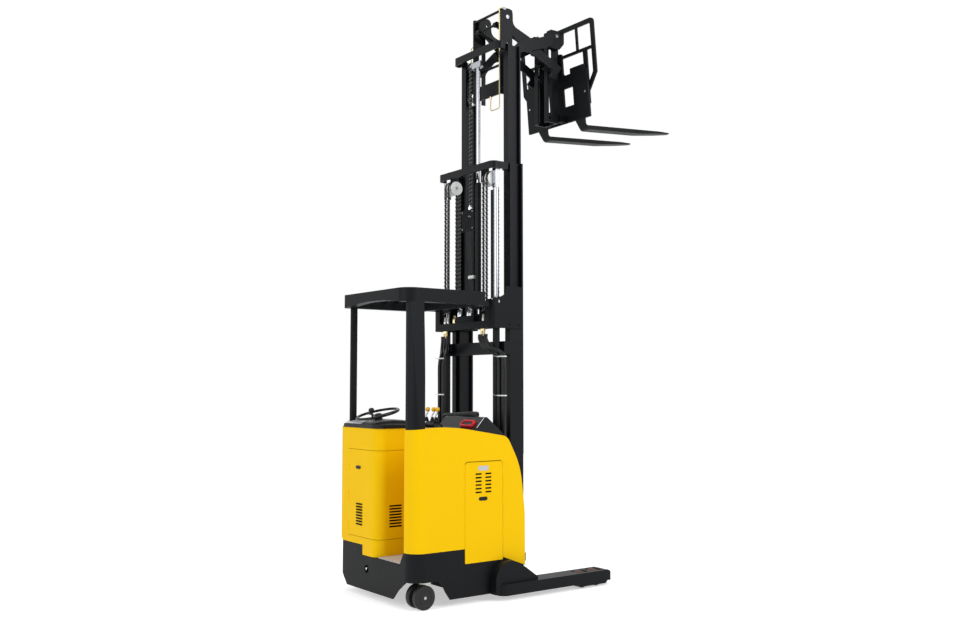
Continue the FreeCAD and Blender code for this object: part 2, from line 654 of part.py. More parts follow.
def guard():
    """Overhead guard with cross bars, rear pillar and rear post."""
    half, top, deep = d.guard_half, d.guard_top, d.guard_deep
    front = 700
    rim = slab("guard_rim", "XY",
               [(-d.rear_overhang, half, 40), (-d.rear_overhang, -half, 105), (front, -half, 40),
                (front, half, 40)], top - deep, top,
               holes=[[(30, half - 50, 20), (30, 60 - half, 60), (front - 45, 50 - half, 20),
                       (front - 45, half - 50, 20)]])
    arch = slab("guard_arch", "YZ",
                [(half - 40, top - deep - 20), (half - 40, top - deep + 1),
                 (0, top - deep + 44, 3000), (100 - half, top - deep + 1),
                 (100 - half, top - deep - 20)], -d.rear_overhang - 5, 32)
    bars = [box(f"guard_bar_{i}", 120 + 105 * i, 145 + 105 * i, 40 - half, half - 40, top - 34,
                top - 6) for i in range(5)]
    arms = [box(f"guard_arm_{i}", front - 20, d.guard_front - 5, y, y + 40, top - 102, top - 58)
            for i, y in enumerate((335, -375))]
    node(fuse("overhead_guard", cut("guard_frame", rim, arch), *bars, *arms))
    long, foot, wall = d.pillar_long, d.body_half - 19, 6
    rear, side = 4, d.pillar_in + 4
    low, high = d.panel_top - 20, top - deep
    pillar, bore = (
        tapered(name, [(rear + t, -side - t, 10 - t / 2), (long - t, -side - t, 20 - t),
                       (long - t, t - foot, 25 - t), (rear + t, t - foot, 75 - t)],
                t - foot, t - half, low - over, high + over)
        for name, t, over in (("pillar_outer", 0, 0), ("pillar_bore", wall, 1)))
    below = slab("below_pillar", "XZ",
                 [(-5, 1250), (-5, d.panel_top - 16), (0, d.panel_top - 16),
                  (124, d.panel_top - 16 + 9.6), (124, 1250)], -d.pillar_in + 5, -d.body_half - 5)
    node(cut("guard_pillar", pillar, bore, below))
    size, inner, deep_post = d.post_size, Size.of(436), d.post_size * 0.6
    node(slab("guard_post", "XY",
              [(26, inner, 12), (26 + size, inner, 12), (26 + size, inner + deep_post, 12),
               (26, inner + deep_post, 12)], d.tower_top + 28, top - deep,
              holes=[[(31, inner + 5, 7), (21 + size, inner + 5, 7),
                      (21 + size, inner + deep_post - 5, 7), (31, inner + deep_post - 5, 7)]]))


# ---------------------------------------------------------------- mast

def channel(name, x, web_outer, reach_out, reach_in, low, high):
    """One rail: a web with flanges reaching outwards and inwards from it."""
    wall, depth = d.rail_wall, d.mast_depth
    inner = web_outer - d.rail_web
    tip_out, tip_in = web_outer + reach_out, inner - reach_in
    if reach_out.number == 0:
        outline = [(x, tip_in), (x, web_outer), (x + depth, web_outer), (x + depth, tip_in),
                   (x + depth - wall, tip_in), (x + depth - wall, inner), (x + wall, inner),
                   (x + wall, tip_in)]
    else:
        outline = [(x, tip_in), (x, tip_out), (x + wall, tip_out), (x + wall, web_outer),
                   (x + depth - wall, web_outer), (x + depth - wall, tip_out),
                   (x + depth, tip_out), (x + depth, tip_in), (x + depth - wall, tip_in),
                   (x + depth - wall, inner), (x + wall, inner), (x + wall, tip_in)]
    return slab(name, "XY", outline, low, high)


def bridge(name, rear, half, wall, front, low, high):
    """A tie bent like a U, open to the front, between the two rails."""
    return slab(name, "XY",
                [(front, -half), (rear, -half, 45), (rear, half, 45), (front, half),
                 (front, half - wall), (rear + wall, half - wall, 30),
                 (rear + wall, wall - half, 30), (front, wall - half)], low, high)


def stage_tabs(name, outer_x, flange_tip, tie_half, x, low, high):
    """Blocks that pass inside the outer stage's flanges to carry a stage's top tie."""
    edge, wide = flange_tip - 5, 20
    tabs = []
    for i, sign in enumerate((1, -1)):
        inside = (edge - wide) * sign
        tabs.append(box(f"{name}_plate_{i}", outer_x - 19, outer_x - 7,
                        *sorted_pair(inside, (tie_half - 1) * sign), low, high))
        tabs.append(box(f"{name}_block_{i}", outer_x - 19, x + 8,
                        *sorted_pair(inside, edge * sign), low, high))
    return tabs


def tube(name, x, y, low, high, radius, bore):
    """An upright tube."""
    outer = rod(name + "_outer", "Z", x, y, low, radius, Size.of(high) - low)
    inner = rod(name + "_bore", "Z", x, y, Size.of(low) + 12, bore, Size.of(high) - low)
    return cut(name, outer, inner)


def mast():
    """Three nested stages, their ties, lift cylinders, pulleys and bracket."""
    none = Size.of(0)
    low, high = d.mast_low, d.mast_top
    half, x1 = d.mast_half, d.mast_rear
    rail = channel("outer_rail", x1, half, none, d.rail_flange - d.rail_web, low, high)
    brace = box("outer_brace", d.brace_x, d.brace_x + 10, -half, half, 1845, 1947)
    brace_ends = [box(f"brace_end_{i}", d.brace_x, x1 + 1, y, y + 10, 1845, 1947)
                  for i, y in enumerate((half - 10, -half))]
    foot = box("outer_foot", d.skirt_front, x1 + 1, half - 30, half - 10, low + 60, 400)
    foot_right = mirror("outer_foot_right", foot)
    pad = box("outer_pad", x1 + d.rail_wall - 1, x1 + d.stage_shift - 0.3, half - 47, half - 25,
              high - 260, high - 80)
    node(fuse("outer_mast", rail, mirror("outer_rail_right", rail), brace, *brace_ends, foot,
              foot_right, pad, mirror("outer_pad_right", pad)))
    # middle stage
    x2, raise2 = x1 + d.stage_shift, d.stage_lift
    web2 = half - d.rail_flange - d.stage_gap
    out2 = d.rail_flange - d.rail_web - 5
    rail2 = channel("middle_rail", x2, web2, out2, d.rail_in, low + raise2, high + raise2 + 8)
    span2 = (high + raise2 - 60, high + raise2 - 2)
    top2 = bridge("middle_top", Size.of(815), half - 14, Size.of(14), x1 - 7, *span2)
    tabs2 = stage_tabs("middle_tab", x1, half - d.rail_flange, half - 14, x2, *span2)
    tie2 = box("middle_tie", x2 - 9, x2 + 1, -web2, web2, low + raise2, low + raise2 + 140)
    hangers = [box(f"pulley_hanger_{i}", 828, 905, y, y + 8, d.pulley_z - 25, high + raise2 - 20)
               for i, y in enumerate((Size.of(212), Size.of(-220)))]
    axles = [rod(f"pulley_axle_{i}", "Y", d.pulley_x, y, d.pulley_z, 9, 98)
             for i, y in enumerate((Size.of(212), Size.of(-310)))]
    pad2 = box("middle_pad", x2 + d.rail_wall - 1, x2 + d.stage_shift - 0.3,
               web2 - d.rail_web - d.rail_in + 1, web2 - d.rail_web - 7, high + raise2 - 260,
               high + raise2 - 80)
    node(fuse("middle_mast", rail2, mirror("middle_rail_right", rail2), top2, *tabs2, tie2,
              *hangers, *axles, pad2, mirror("middle_pad_right", pad2)))
    pulleys = []
    for side, sign in (("left", 1), ("right", -1)):
        for i, y in enumerate((Size.of(245), Size.of(288))):
            pulleys.append(pulley(f"pulley_{side}_{i}", d.pulley_x, y * sign, d.pulley_z))
    node(group("hose_pulleys", *pulleys))
    rods = []
    for side, sign in (("left", 1), ("right", -1)):
        y = d.lift_y * sign
        stem = rod(f"lift_rod_{side}", "Z", d.lift_x, y, 1250, d.lift_rod, 1930)
        head = box(f"lift_head_{side}", d.lift_x - 22, d.lift_x + 22, y - 22, y + 22, 3170, 3340)
        ear = box(f"lift_ear_{side}", d.lift_x - 16, d.lift_x + 16, *sorted_pair(y + 20 * sign,
                  Size.of(371) * sign), 3321, 3340)
        rods.append(fuse(f"lift_stem_{side}", stem, head, ear))
    node(group("lift_rods", *rods))
    tubes = [tube(f"lift_tube_{side}", d.lift_x, d.lift_y * sign, low, d.lift_tube_top,
                  d.lift_tube, d.lift_rod + 0.5) for side, sign in (("left", 1), ("right", -1))]
    node(group("lift_cylinders", *tubes))
    # inner stage
    x3, raise3 = x2 + d.stage_shift, raise2 * 2
    web3 = web2 - d.rail_web - d.rail_in - d.stage_gap
    rail3 = channel("inner_rail", x3, web3, d.rail_in, d.rail_in, low + raise3, high + raise3)
    span3 = (high + raise3 - 50, high + raise3 + 13)
    tie_half3 = Size.of(319)
    top3 = bridge("inner_top", Size.of(924), tie_half3, Size.of(13), x2 - 5, *span3)
    tabs3 = stage_tabs("inner_tab", x2, web2 - d.rail_web - d.rail_in, tie_half3, x3, *span3)
    tie3 = box("inner_tie", x3 - 9, x3 + 1, -web3, web3, low + raise3, low + raise3 + 130)
    seat = box("free_lift_seat", d.free_x - d.free_tube, x3 + 1, -60, 60, low + raise3 + 165,
               low + raise3 + 200)
    seat_web = box("free_lift_web", x3 - 9, x3 + 1, -60, 60, low + raise3 + 120, low + raise3 + 200)
    node(fuse("inner_mast", rail3, mirror("inner_rail_right", rail3), top3, *tabs3, tie3, seat,
              seat_web))
    node(tube("free_lift_cylinder", d.free_x, 0, low + raise3 + 200, 3270, d.free_tube,
              d.free_rod + 0.5))
    free_rod = rod("free_rod_stem", "Z", d.free_x, 0, 3190, d.free_rod, 1060)
    free_head = box("free_rod_head", d.free_x - 24, d.free_x + 24, -60, 60, 4240, 4290)
    node(fuse("free_lift_rod", free_rod, free_head))


def pulley(name, x, y, z):
    """A grooved pulley on an axle along Y."""
    radius, wide = d.pulley_radius, d.pulley_wide
    half = wide / 2
    return wheel_body(name, [(9.3, -half), (radius, -half), (radius, -half + 5),
                             (radius - 9, -9), (radius - 9, 9), (radius, half - 5), (radius, half),
                             (9.3, half)], x, y, z)


def bracket():
    """The bent plate that ties the guard to the mast, with its fittings."""
    low, half, wall, top = d.bracket_low, d.mast_half + 12, Size.of(12), d.mast_top
    rear, front, arm_room = d.guard_front - 5, d.mast_rear + 108, 318
    bend = bridge("bracket_bend", rear, half, wall, front, low, top)
    window, sill = low + 58, low + 228
    above = slab("bracket_above", "YZ",
                 [(-arm_room, window, 8), (arm_room, window, 8), (arm_room, sill, 45),
                  (half + 20, sill), (half + 20, top + 5), (-half - 20, top + 5),
                  (-half - 20, sill), (-arm_room, sill, 45)], rear - 5, rear + 13)
    curve = slab("bracket_curve", "XZ",
                 [(rear - 10, sill), (rear + 80, sill + 16), (rear + 137, sill + 42, 45),
                  (rear + 137, top + 5), (rear - 10, top + 5)], half + 5, -half - 5)
    hole = rod("bracket_hole", "Y", rear + 70, -half - 5, low + 210, 13, half * 2 + 10)
    node(cut("mast_bracket", bend, above, curve, hole))
    fittings = [box(f"fitting_{i}", rear, rear + 30, y - 20, y + 20, low - 75, low)
                for i, y in enumerate((251, -271))]
    node(group("hose_fittings", *fittings))


# ---------------------------------------------------------------- legs and wheels

def legs():
    """Each leg: a hollow beam with its gusset, foot, wheel slots and axles."""
    low, top, wall = d.leg_low, d.leg_top, d.leg_wall
    rear, front = d.leg_rear, d.leg_front
    for side, sign in (("left", 1), ("right", -1)):
        inner, outer = d.leg_inner * sign, d.leg_outer * sign
        plan = slab(f"leg_plan_{side}", "XY",
                    [(rear, inner), (rear, outer, 60), (front - 35, outer, 20),
                     (front, outer - 45 * sign, 20), (front, inner + 45 * sign, 20),
                     (front - 35, inner, 20)], low - 25, top + 5)
        profile = slab(f"leg_profile_{side}", "XZ",
                       [(rear - 5, low), (rear - 5, top), (front - 60, top, 30),
                        (front + 5, top - 35), (front + 5, low, 10), (1790, low), (1772, 18),
                        (1500, 18), (1482, low)], *sorted_pair(inner, outer)[::-1])
        beam = doc.addObject("Part::MultiCommon", f"leg_beam_{side}")
        beam.Shapes = [plan, profile]
        beside = box(f"leg_beside_{side}", rear - 5, d.skirt_front,
                     *sorted_pair(inner - 5 * sign, d.body_half * sign), low - 5, top + 5)
        hollow = box(f"leg_hollow_{side}", d.skirt_front + wall, front - 60,
                     *sorted_pair(inner + wall * sign, outer - wall * sign), 0, top - wall)
        slots = []
        for i in range(2):
            x = d.load_rear + d.load_pitch * i
            centre = (d.leg_inner + d.leg_outer) / 2 * sign
            slots.append(box(f"leg_slot_{side}_{i}", x - 58, x + 58, centre - 50, centre + 50,
                             top - wall - 1, top + 1))
        open_beam = cut(f"leg_open_{side}", beam, beside, hollow, *slots)
        gusset = slab(f"leg_gusset_{side}", "XZ",
                      [(687, 48), (687, 286, 140), (850, 286, 60), (966, 229), (1089, 144),
                       (1089, 48)], *sorted_pair(d.body_half * sign, d.gusset_outer * sign)[::-1])
        foot = box(f"leg_foot_{side}", d.mast_rear + 8, d.mast_rear + d.mast_depth - 8,
                   *sorted_pair(d.mast_half * sign, inner + sign), low + 22, top)
        axles = [rod(f"leg_axle_{side}_{i}", "Y", d.load_rear + d.load_pitch * i,
                     sorted_pair(inner + 2 * sign, outer - 2 * sign)[0], d.load_radius, 11,
                     d.leg_outer - d.leg_inner - 4) for i in range(2)]
        node(fuse(f"outrigger_{side}", open_beam, gusset, foot, *axles))
        for i in range(2):
            spot = ("rear", "front")[i]
            centre = (d.leg_inner + d.leg_outer) / 2 * sign
            half = d.load_wide / 2
            node(wheel_body(f"load_wheel_{side}_{spot}",
                            [(11.3, -half - 5), (30, -half - 5), (30, -half),
                             (d.load_radius - 5, -half), (d.load_radius, -half + 5),
                             (d.load_radius, half - 5), (d.load_radius - 5, half), (30, half),
                             (30, half + 5), (11.3, half + 5)],
                            d.load_rear + d.load_pitch * i, centre, d.load_radius))


def drive():
    """Steered drive unit: turntable, gearbox leg, motor and its wheel."""
    x, y, r = d.drive_x, d.drive_y, d.drive_radius
    half = d.drive_wide / 2
    ring = rod("turntable", "Z", x, y, r * 2 + 20, r - 6, 45)
    flange = rod("turntable_flange", "Z", x, y, d.deck_low + d.deck_wall + 0.3, r + 16, 12)
    leg = box("gearbox", x - 60, x + 60, y + half + 6, y + half + 62, r - 50, r * 2 + 40)
    motor = rod("drive_motor", "Z", x, y, r * 2 + 70, 92, 280)
    axle = rod("drive_axle", "Y", x, y - half, r, 20, d.drive_wide + 20)
    node(fuse("drive_unit", ring, flange, leg, motor, axle))
    node(wheel_body("drive_wheel",
                    [(20.3, 4 - half), (70, 4 - half), (80, -half), (r - 6, -half), (r, 6 - half),
                     (r, half - 6), (r - 6, half), (80, half), (70, half - 4), (20.3, half - 4)],
                    x, y, r))


def caster():
    """Twin caster: swivel head with a central stem, and two wheels on one axle."""
    x, y, r = d.caster_x, d.caster_y, d.caster_radius
    wheel_x = x - d.caster_trail
    head = rod("caster_head", "Z", x, y, r * 2 + 7, 56, d.caster_bay_top - r * 2 - 7.3)
    stem = slab("caster_stem", "XZ",
                [(wheel_x - 26, r - 26, 24), (wheel_x - 30, r + 40, 30), (x - 45, r * 2 + 8),
                 (x + 45, r * 2 + 8), (x + 30, r + 45, 30), (wheel_x + 30, r - 26, 24)],
                y + 15, y - 15)
    axle = rod("caster_axle", "Y", wheel_x, y - 66, r, 10, 132)
    node(fuse("caster_fork", head, stem, axle))
    half, pitch = d.caster_wide / 2, d.caster_pitch / 2
    wheels = []
    for i, sign in enumerate((1, -1)):
        wheels.append(wheel_body(f"caster_wheel_{i}",
                                 [(10.3, -half), (46, -half), (50, 3 - half), (56, -half),
                                  (r - 7, -half), (r, 7 - half), (r, half - 7), (r - 7, half),
                                  (56, half), (50, half - 3), (46, half), (10.3, half)],
                                 wheel_x, y + pitch * sign, r))
    node(group("caster_wheels", *wheels))


# ---------------------------------------------------------------- reach gear

def both(label, left):
    """A left piece and its mirror twin as one node."""
    return node(group(label, left, mirror(label + "_twin", left)))


def reach():
    """Pantograph: rear frame, two pairs of arms, front frame and cylinders."""
    pin, r = (d.pin_x, d.pin_z), d.pin_radius
    hub, front = (d.hub_x, d.hub_z), (d.front_x, d.front_z)
    low_rear = (d.pin_x, d.hub_z * 2 - d.pin_z)
    low_front = (d.front_x, d.hub_z * 2 - d.front_z)
    wall, gap = d.arm_wall, Size.of(3)
    plate_in = d.reach_half + 2
    b_out = plate_in - gap
    b_in = b_out - wall
    a_out = b_in - gap
    a_in = a_out - wall
    reach_frame(pin, plate_in, a_in)
    half = d.arm_wide / 2
    rear_x, rear_z = pin
    front_x, front_z = low_front
    arm_a = slab("rear_arm", "XZ",
                 [(rear_x - 44, rear_z + 16, 40), (rear_x - 28, rear_z + 84, 34),
                  (rear_x + 84, rear_z + 94, 40), (rear_x + 87, rear_z - 44, 60),
                  (hub[0] + 48, hub[1] + 78, 120), (hub[0] + 184, hub[1] - 16, 80),
                  (front_x + 70, front_z + 36, 16), (front_x + 33, front_z - 18),
                  (front_x - 4, front_z - 86, 14), (front_x - 69, front_z - 63, 12),
                  (front_x - 24, front_z - 2, 16), (hub[0] + 74, hub[1] - 46, 60),
                  (hub[0] - 17, hub[1] - 44, 60), (rear_x - 45, rear_z - 21.5, 44)], a_out, a_in,
                 circles=[(*pin, r), (*hub, r), (rear_x + 41, rear_z + 26, 11)])
    slide_pin = rod("rear_arm_slide", "Y", low_front[0], a_in - 68, low_front[1], r, 70)
    eye_pin = rod("rear_arm_eye", "Y", d.eye_x, a_in - 50, d.eye_z, 10, 52)
    both("rear_arms", fuse("rear_arm_left", arm_a, slide_pin, eye_pin))
    low_x, low_z = low_rear
    bar_b = slab("front_arm", "XZ",
                 [(low_x - 10, low_z + 45), (hub[0] - 94, hub[1] + 19, 80),
                  (hub[0] + 148, hub[1] + 104, 300), (front[0] + 44, front[1] + 61, 14),
                  (front[0] + 19, front[1] - 51, 14), (hub[0] + 192, hub[1] + 16, 300),
                  (hub[0] - 94, hub[1] - 76, 120), (low_x + 15, low_z - 43)], b_out, b_in)
    eyes = [rod("front_arm_foot", "Y", *spot(low_rear, b_in), half, wall),
            rod("front_arm_boss", "Y", *spot(hub, b_in), half + 12, wall)]
    hole = rod("front_arm_hole", "Y", *spot(front, b_in - 1), r, wall + 2)
    hub_pin = rod("front_arm_hub", "Y", *spot(hub, a_in), r - 0.3, b_out - a_in)
    slide_b = rod("front_arm_slide", "Y", *spot(low_rear, b_out - 1), r, 16)
    tie_b = rod("front_arm_tie", "Y", low_rear[0], -b_in - 1, low_rear[1], 11, b_in * 2 + 2)
    arm_b = fuse("front_arm_left",
                 cut("front_arm_cut", fuse("front_arm_solid", bar_b, *eyes), hole), hub_pin,
                 slide_b)
    node(fuse("front_arms", arm_b, mirror("front_arm_right", arm_b), tie_b))
    front_frame(front, b_out)
    reach_cylinders(a_in)


def reach_frame(pin, plate_in, a_in):
    """The frame that rides in the inner rails: plates, slotted tracks and rollers."""
    r, plate_wall = d.pin_radius, 14
    pin_x, pin_z = pin
    rear, fore = pin_x - 72, pin_x + 52
    top, low, meet = pin_z + 68, pin_z - 660, pin_z - 215
    plate_out = plate_in + plate_wall
    plate = slab("reach_plate", "XZ",
                 [(rear, meet), (rear, top, 12), (fore, top, 12), (fore, meet)], plate_out,
                 plate_in)
    top_pin = rod("reach_top_pin", "Y", *spot(pin, a_in), r - 0.3, plate_in + 6 - a_in)
    side = fuse("reach_side", plate, top_pin)
    tie_top = rod("reach_tie_top", "Y", rear + 11, -plate_in, top - 24, 11, plate_in * 2)
    base_bar = rod("reach_base_bar", "Y", d.base_x, -plate_in, d.base_z, 10, plate_in * 2)
    node(fuse("reach_frame", side, mirror("reach_side_right", side), tie_top, base_bar))
    tracks = []
    for i, (x0, x1) in enumerate(((rear, pin_x - r - 2), (pin_x + r + 2, fore))):
        strip = box(f"reach_track_{i}", x0, x1, plate_in, plate_out, low, meet)
        tracks += [strip, mirror(f"reach_track_{i}_right", strip)]
    tie_low = box("reach_tie_low", rear, rear + 12, -plate_in, plate_in, low, low + 120)
    node(group("reach_tracks", fuse("reach_tracks_rear", *tracks[:2], tie_low), *tracks[2:]))
    roller_x = d.mast_rear + d.stage_shift * 2 + d.mast_depth / 2
    web_face = d.mast_half - d.rail_flange - d.stage_gap * 2 - d.rail_web * 2 - d.rail_in
    roller_in, roller_wide = web_face - 36, 31
    rollers = []
    for i, z in enumerate((pin_z - 330, pin_z - 610)):
        hub = rod(f"reach_hub_{i}", "Y", roller_x, plate_out, z, 20, roller_in + 1 - plate_out)
        roller = rod(f"reach_roller_{i}", "Y", roller_x, roller_in, z,
                     d.mast_depth / 2 - d.rail_wall - 0.3, roller_wide)
        solid = fuse(f"reach_roller_solid_{i}", hub, roller)
        rollers += [solid, mirror(f"reach_roller_right_{i}", solid)]
    node(group("reach_rollers", *rollers))


def front_frame(front, b_out):
    """The frame that the carriage tilts on, with the tilt cylinder's barrel."""
    r, out, deep = d.pin_radius, d.front_half, Size.of(46)
    front_x, front_z = front
    x0, x1 = front_x - 34, front_x + 80
    top, low = front_z + 50, front_z - 740
    up = slab("front_upright", "XY",
              [(x0, out), (x0, out - deep), (x0 + 12, out - deep), (x0 + 12, out - 12),
               (x1 - 12, out - 12), (x1 - 12, out - deep), (x1, out - deep), (x1, out)], low, top)
    slot = slab("front_slot", "XZ",
                [(front_x - r - 2, low + 25, 8), (front_x + r + 2, low + 25, 8),
                 (front_x + r + 2, front_z - 95, 8), (front_x - r - 2, front_z - 95, 8)],
                out + 5, out - 15)
    pin = rod("front_pin", "Y", *spot(front, out - 5), r - 0.3, b_out - out + 5)
    ear = slab("front_ear", "XZ",
               [(front_x - 40, front_z - 100, 20), (front_x - 40, front_z + 62, 10),
                (front_x + 115, front_z + 62, 10), (front_x + 115, front_z - 40, 40),
                (front_x + 62, front_z - 100, 20)], out + 51, out - 1)
    up = fuse("front_side", cut("front_up_cut", up, slot), pin, ear)
    ties = [box(f"front_tie_{i}", x1 - 1, x1 + 12, -out, out, z, z + 90)
            for i, z in enumerate((low, front_z - 40))]
    lugs = [box(f"front_lug_{i}", x1, d.tilt_x + 25, y, y + 14, d.tilt_z - 30, d.tilt_z + 30)
            for i, y in enumerate((out - 14, -out))]
    tilt_pin = rod("tilt_pin", "Y", d.tilt_x, -out - 30, d.tilt_z, 12, out * 2 + 60)
    rod_x, rod_z, tube_rear = d.tilt_rod_x, d.tilt_rod_z, x0 - 46
    shelf = box("tilt_shelf", front_x + 28, x1 - 14, 11 - out, out - 11, rod_z - 46, rod_z - 20)
    barrel = rod("tilt_barrel", "X", tube_rear, 0, rod_z, 24, d.tilt_tube_x - tube_rear)
    bore = rod("tilt_bore", "X", tube_rear + 12, 0, rod_z, 11.5, 200)
    node(cut("front_frame", fuse("front_frame_solid", up, mirror("front_side_right", up), *ties,
                                 *lugs, tilt_pin, shelf, barrel), bore))
    stem = rod("tilt_stem", "X", tube_rear + 20, 0, rod_z, 11, rod_x - tube_rear - 36)
    loop = rod("tilt_eye", "Y", rod_x, -12, rod_z, 20, 24)
    slack = rod("tilt_slack", "Y", rod_x, -14, rod_z, 14, 28)
    node(cut("tilt_rod", fuse("tilt_rod_solid", stem, loop), slack))


def spot(pin, y):
    """A pin's place as x, y, z arguments."""
    return pin[0], y, pin[1]


def reach_cylinders(a_in):
    """Two cylinders from the rear frame's bar to a slack eye on the rear arms."""
    y = a_in - 27
    bx, bz, ex, ez = d.base_x, d.base_z, d.eye_x, d.eye_z
    angle = math.degrees(math.atan2(bz.number - ez.number, ex.number - bx.number))
    length = math.hypot(ex.number - bx.number, ez.number - bz.number)
    turn = FreeCAD.Rotation(FreeCAD.Vector(0, 1, 0), 90 + angle)
    body, stem = [], []
    for side, sign in (("left", 1), ("right", -1)):
        base = FreeCAD.Vector((bx - ORIGIN).number, y.number * sign, bz.number)
        barrel = doc.addObject("Part::Cylinder", f"reach_barrel_{side}")
        bind(barrel, Radius=Size.of(20), Height=Size.of(265))
        barrel.Placement = FreeCAD.Placement(base + turn.multVec(FreeCAD.Vector(0, 0, 14)), turn)
        bore = doc.addObject("Part::Cylinder", f"reach_bore_{side}")
        bind(bore, Radius=Size.of(10.5), Height=Size.of(250))
        bore.Placement = FreeCAD.Placement(base + turn.multVec(FreeCAD.Vector(0, 0, 34)), turn)
        eye = rod(f"reach_base_eye_{side}", "Y", bx, y * sign - 18, bz, 22, 36)
        hole = rod(f"reach_base_hole_{side}", "Y", bx, y * sign - 20, bz, 10.3, 40)
        body.append(cut(f"reach_tube_{side}", fuse(f"reach_tube_solid_{side}", barrel, eye), bore,
                        hole))
        shaft = doc.addObject("Part::Cylinder", f"reach_shaft_{side}")
        bind(shaft, Radius=Size.of(10), Height=Size.of(length - 24 - 150))
        shaft.Placement = FreeCAD.Placement(base + turn.multVec(FreeCAD.Vector(0, 0, 150)), turn)
        loop = rod(f"reach_eye_{side}", "Y", ex, y * sign - 13, ez, 30, 26)
        slack = rod(f"reach_slack_{side}", "Y", ex, y * sign - 15, ez, 21, 30)
        stem.append(cut(f"reach_stem_{side}", fuse(f"reach_stem_solid_{side}", shaft, loop), slack))
    node(group("reach_cylinders", *body))
    node(group("reach_rods", *stem))


# ---------------------------------------------------------------- forks

def forks():
    """Fork carriage, load backrest and two forks."""
    face, wall, lean = d.fork_face, Size.of(20), (d.tilt_x, d.tilt_z, d.tilt_angle)
    low, high, half = d.plate_low, d.plate_low + d.plate_high, d.plate_half
    tower_top, shoulder = low + 615, high + 45
    plate = slab("carriage_plate", "YZ",
                 [(-half, low, 6), (-half, high, 10), (-375, high), (-375, shoulder, 8),
                  (-200, shoulder, 8), (-200, high), (-105, high, 30), (-105, tower_top, 20),
                  (105, tower_top, 20), (105, high, 30), (200, high), (200, shoulder, 8),
                  (375, shoulder, 8), (375, high), (half, high, 10), (half, low, 6)],
                 face - wall, face,
                 holes=[[(y, low + 140, 8), (y, high - 115, 8), (y + 140, high - 115, 8),
                         (y + 140, low + 140, 8)] for y in (-235, 95)])
    lugs = [box(f"carriage_lug_{i}", d.tilt_x - 25, face - wall + 1, y, y + 14, d.tilt_z - 28,
                d.tilt_z + 28) for i, y in enumerate((d.front_half + 6, -d.front_half - 20))]
    hole = rod("carriage_hole", "Y", d.tilt_x, -200, d.tilt_z, 12.3, 400)
    carriage = leaned(group("carriage_upright",
                            cut("carriage_cut", fuse("carriage_solid", plate, *lugs), hole)),
                      *lean)
    rod_x, rod_z = d.tilt_rod_x, d.tilt_rod_z
    rod_pin = rod("tilt_rod_pin", "Y", rod_x, -30, rod_z, 11, 60)
    cheeks = [slab(f"tilt_cheek_{i}", "XZ",
                   [(rod_x - 18, rod_z - 20, 12), (rod_x - 18, rod_z + 20, 12),
                    (rod_x + 40, rod_z + 20), (rod_x + 40, rod_z - 20)], y + 12, y)
              for i, y in enumerate((18, -30))]
    node(fuse("fork_carriage", carriage, rod_pin, *cheeks))
    rest_half, top = d.rest_half, d.plate_low + d.rest_high
    x0, x1, bar, post = face + 16, face + 34, Size.of(40), Size.of(385)
    frame = slab("rest_frame", "YZ",
                 [(-post, low + 225), (-rest_half, low + 370, 30), (-rest_half, top, 40),
                  (rest_half, top, 40), (rest_half, low + 370, 30), (post, low + 225),
                  (post - bar, low + 235), (rest_half - bar, low + 380, 20),
                  (rest_half - bar, top - bar, 20), (bar - rest_half, top - bar, 20),
                  (bar - rest_half, low + 380, 20), (bar - post, low + 235)], x0, x1)
    middle = box("rest_middle", x0, x1, bar - rest_half - 1, rest_half - bar + 1, low + 580,
                 low + 605)
    uprights = [box(f"rest_upright_{i}", x0, x1, y, y + 20, low + 600, top - bar + 1)
                for i, y in enumerate((-280, -10, 260))]
    posts = [box(f"rest_post_{i}", x0, x1, y, y + 45, low + 120, low + 585)
             for i, y in enumerate((-post, post - 45))]
    feet = [box(f"rest_foot_{i}", face, x0 + 1, y, y + 45, low + 120, low + 225)
            for i, y in enumerate((-post, post - 45))]
    rest = group("rest_upright", fuse("rest_solid", frame, middle, *uprights, *posts, *feet))
    node(leaned(rest, *lean), "load_backrest")
    thick, tip, floor = d.fork_thick, face + d.fork_long, d.fork_low
    for side, sign in (("left", 1), ("right", -1)):
        y, wide = d.fork_centre * sign, d.fork_wide / 2
        blade = slab(f"fork_profile_{side}", "XZ",
                     [(face + 0.3, floor + 95, 30), (face + 62, floor, 40), (tip - 420, floor),
                      (tip, floor + thick - 10, 4), (tip, floor + thick, 4),
                      (face + 36, floor + thick, 22), (face + 36, high - 10, 10),
                      (face + 0.3, high - 10)], y + wide, y - wide)
        plan = slab(f"fork_plan_{side}", "XY",
                    [(face - 10, y - wide), (tip - 150, y - wide), (tip + 1, y - 22, 20),
                     (tip + 1, y + 22, 20), (tip - 150, y + wide), (face - 10, y + wide)],
                    floor - 5, high + 5)
        shape = doc.addObject("Part::MultiCommon", f"fork_shape_{side}")
        shape.Shapes = [blade, plan]
        node(leaned(group(f"fork_{side}", shape), *lean))


def check_and_write():
    """Recompute, test every object and write one file for each node."""
    doc.recompute()
    for obj in doc.Objects:
        bad = [word for word in obj.State if word in ("Invalid", "Error")]
        if bad:
            raise RuntimeError(f"{obj.Label}: {bad}")
    os.makedirs("parts", exist_ok=True)
    for label, obj in nodes.items():
        shape = obj.Shape
        if shape.isNull() or not shape.isValid():
            raise RuntimeError(f"{label}: shape not valid")
        shape.exportStep(f"parts/{label}.step")
    print(len(nodes), "nodes written")


def main():
    """Build the truck."""
    chassis()
    battery()
    side_panels()
    tower()
    battery_doors()
    console()
    cowl()
    guard()
    mast()
    bracket()
    legs()
    drive()
    caster()
    reach()
    forks()
    check_and_write()


main()
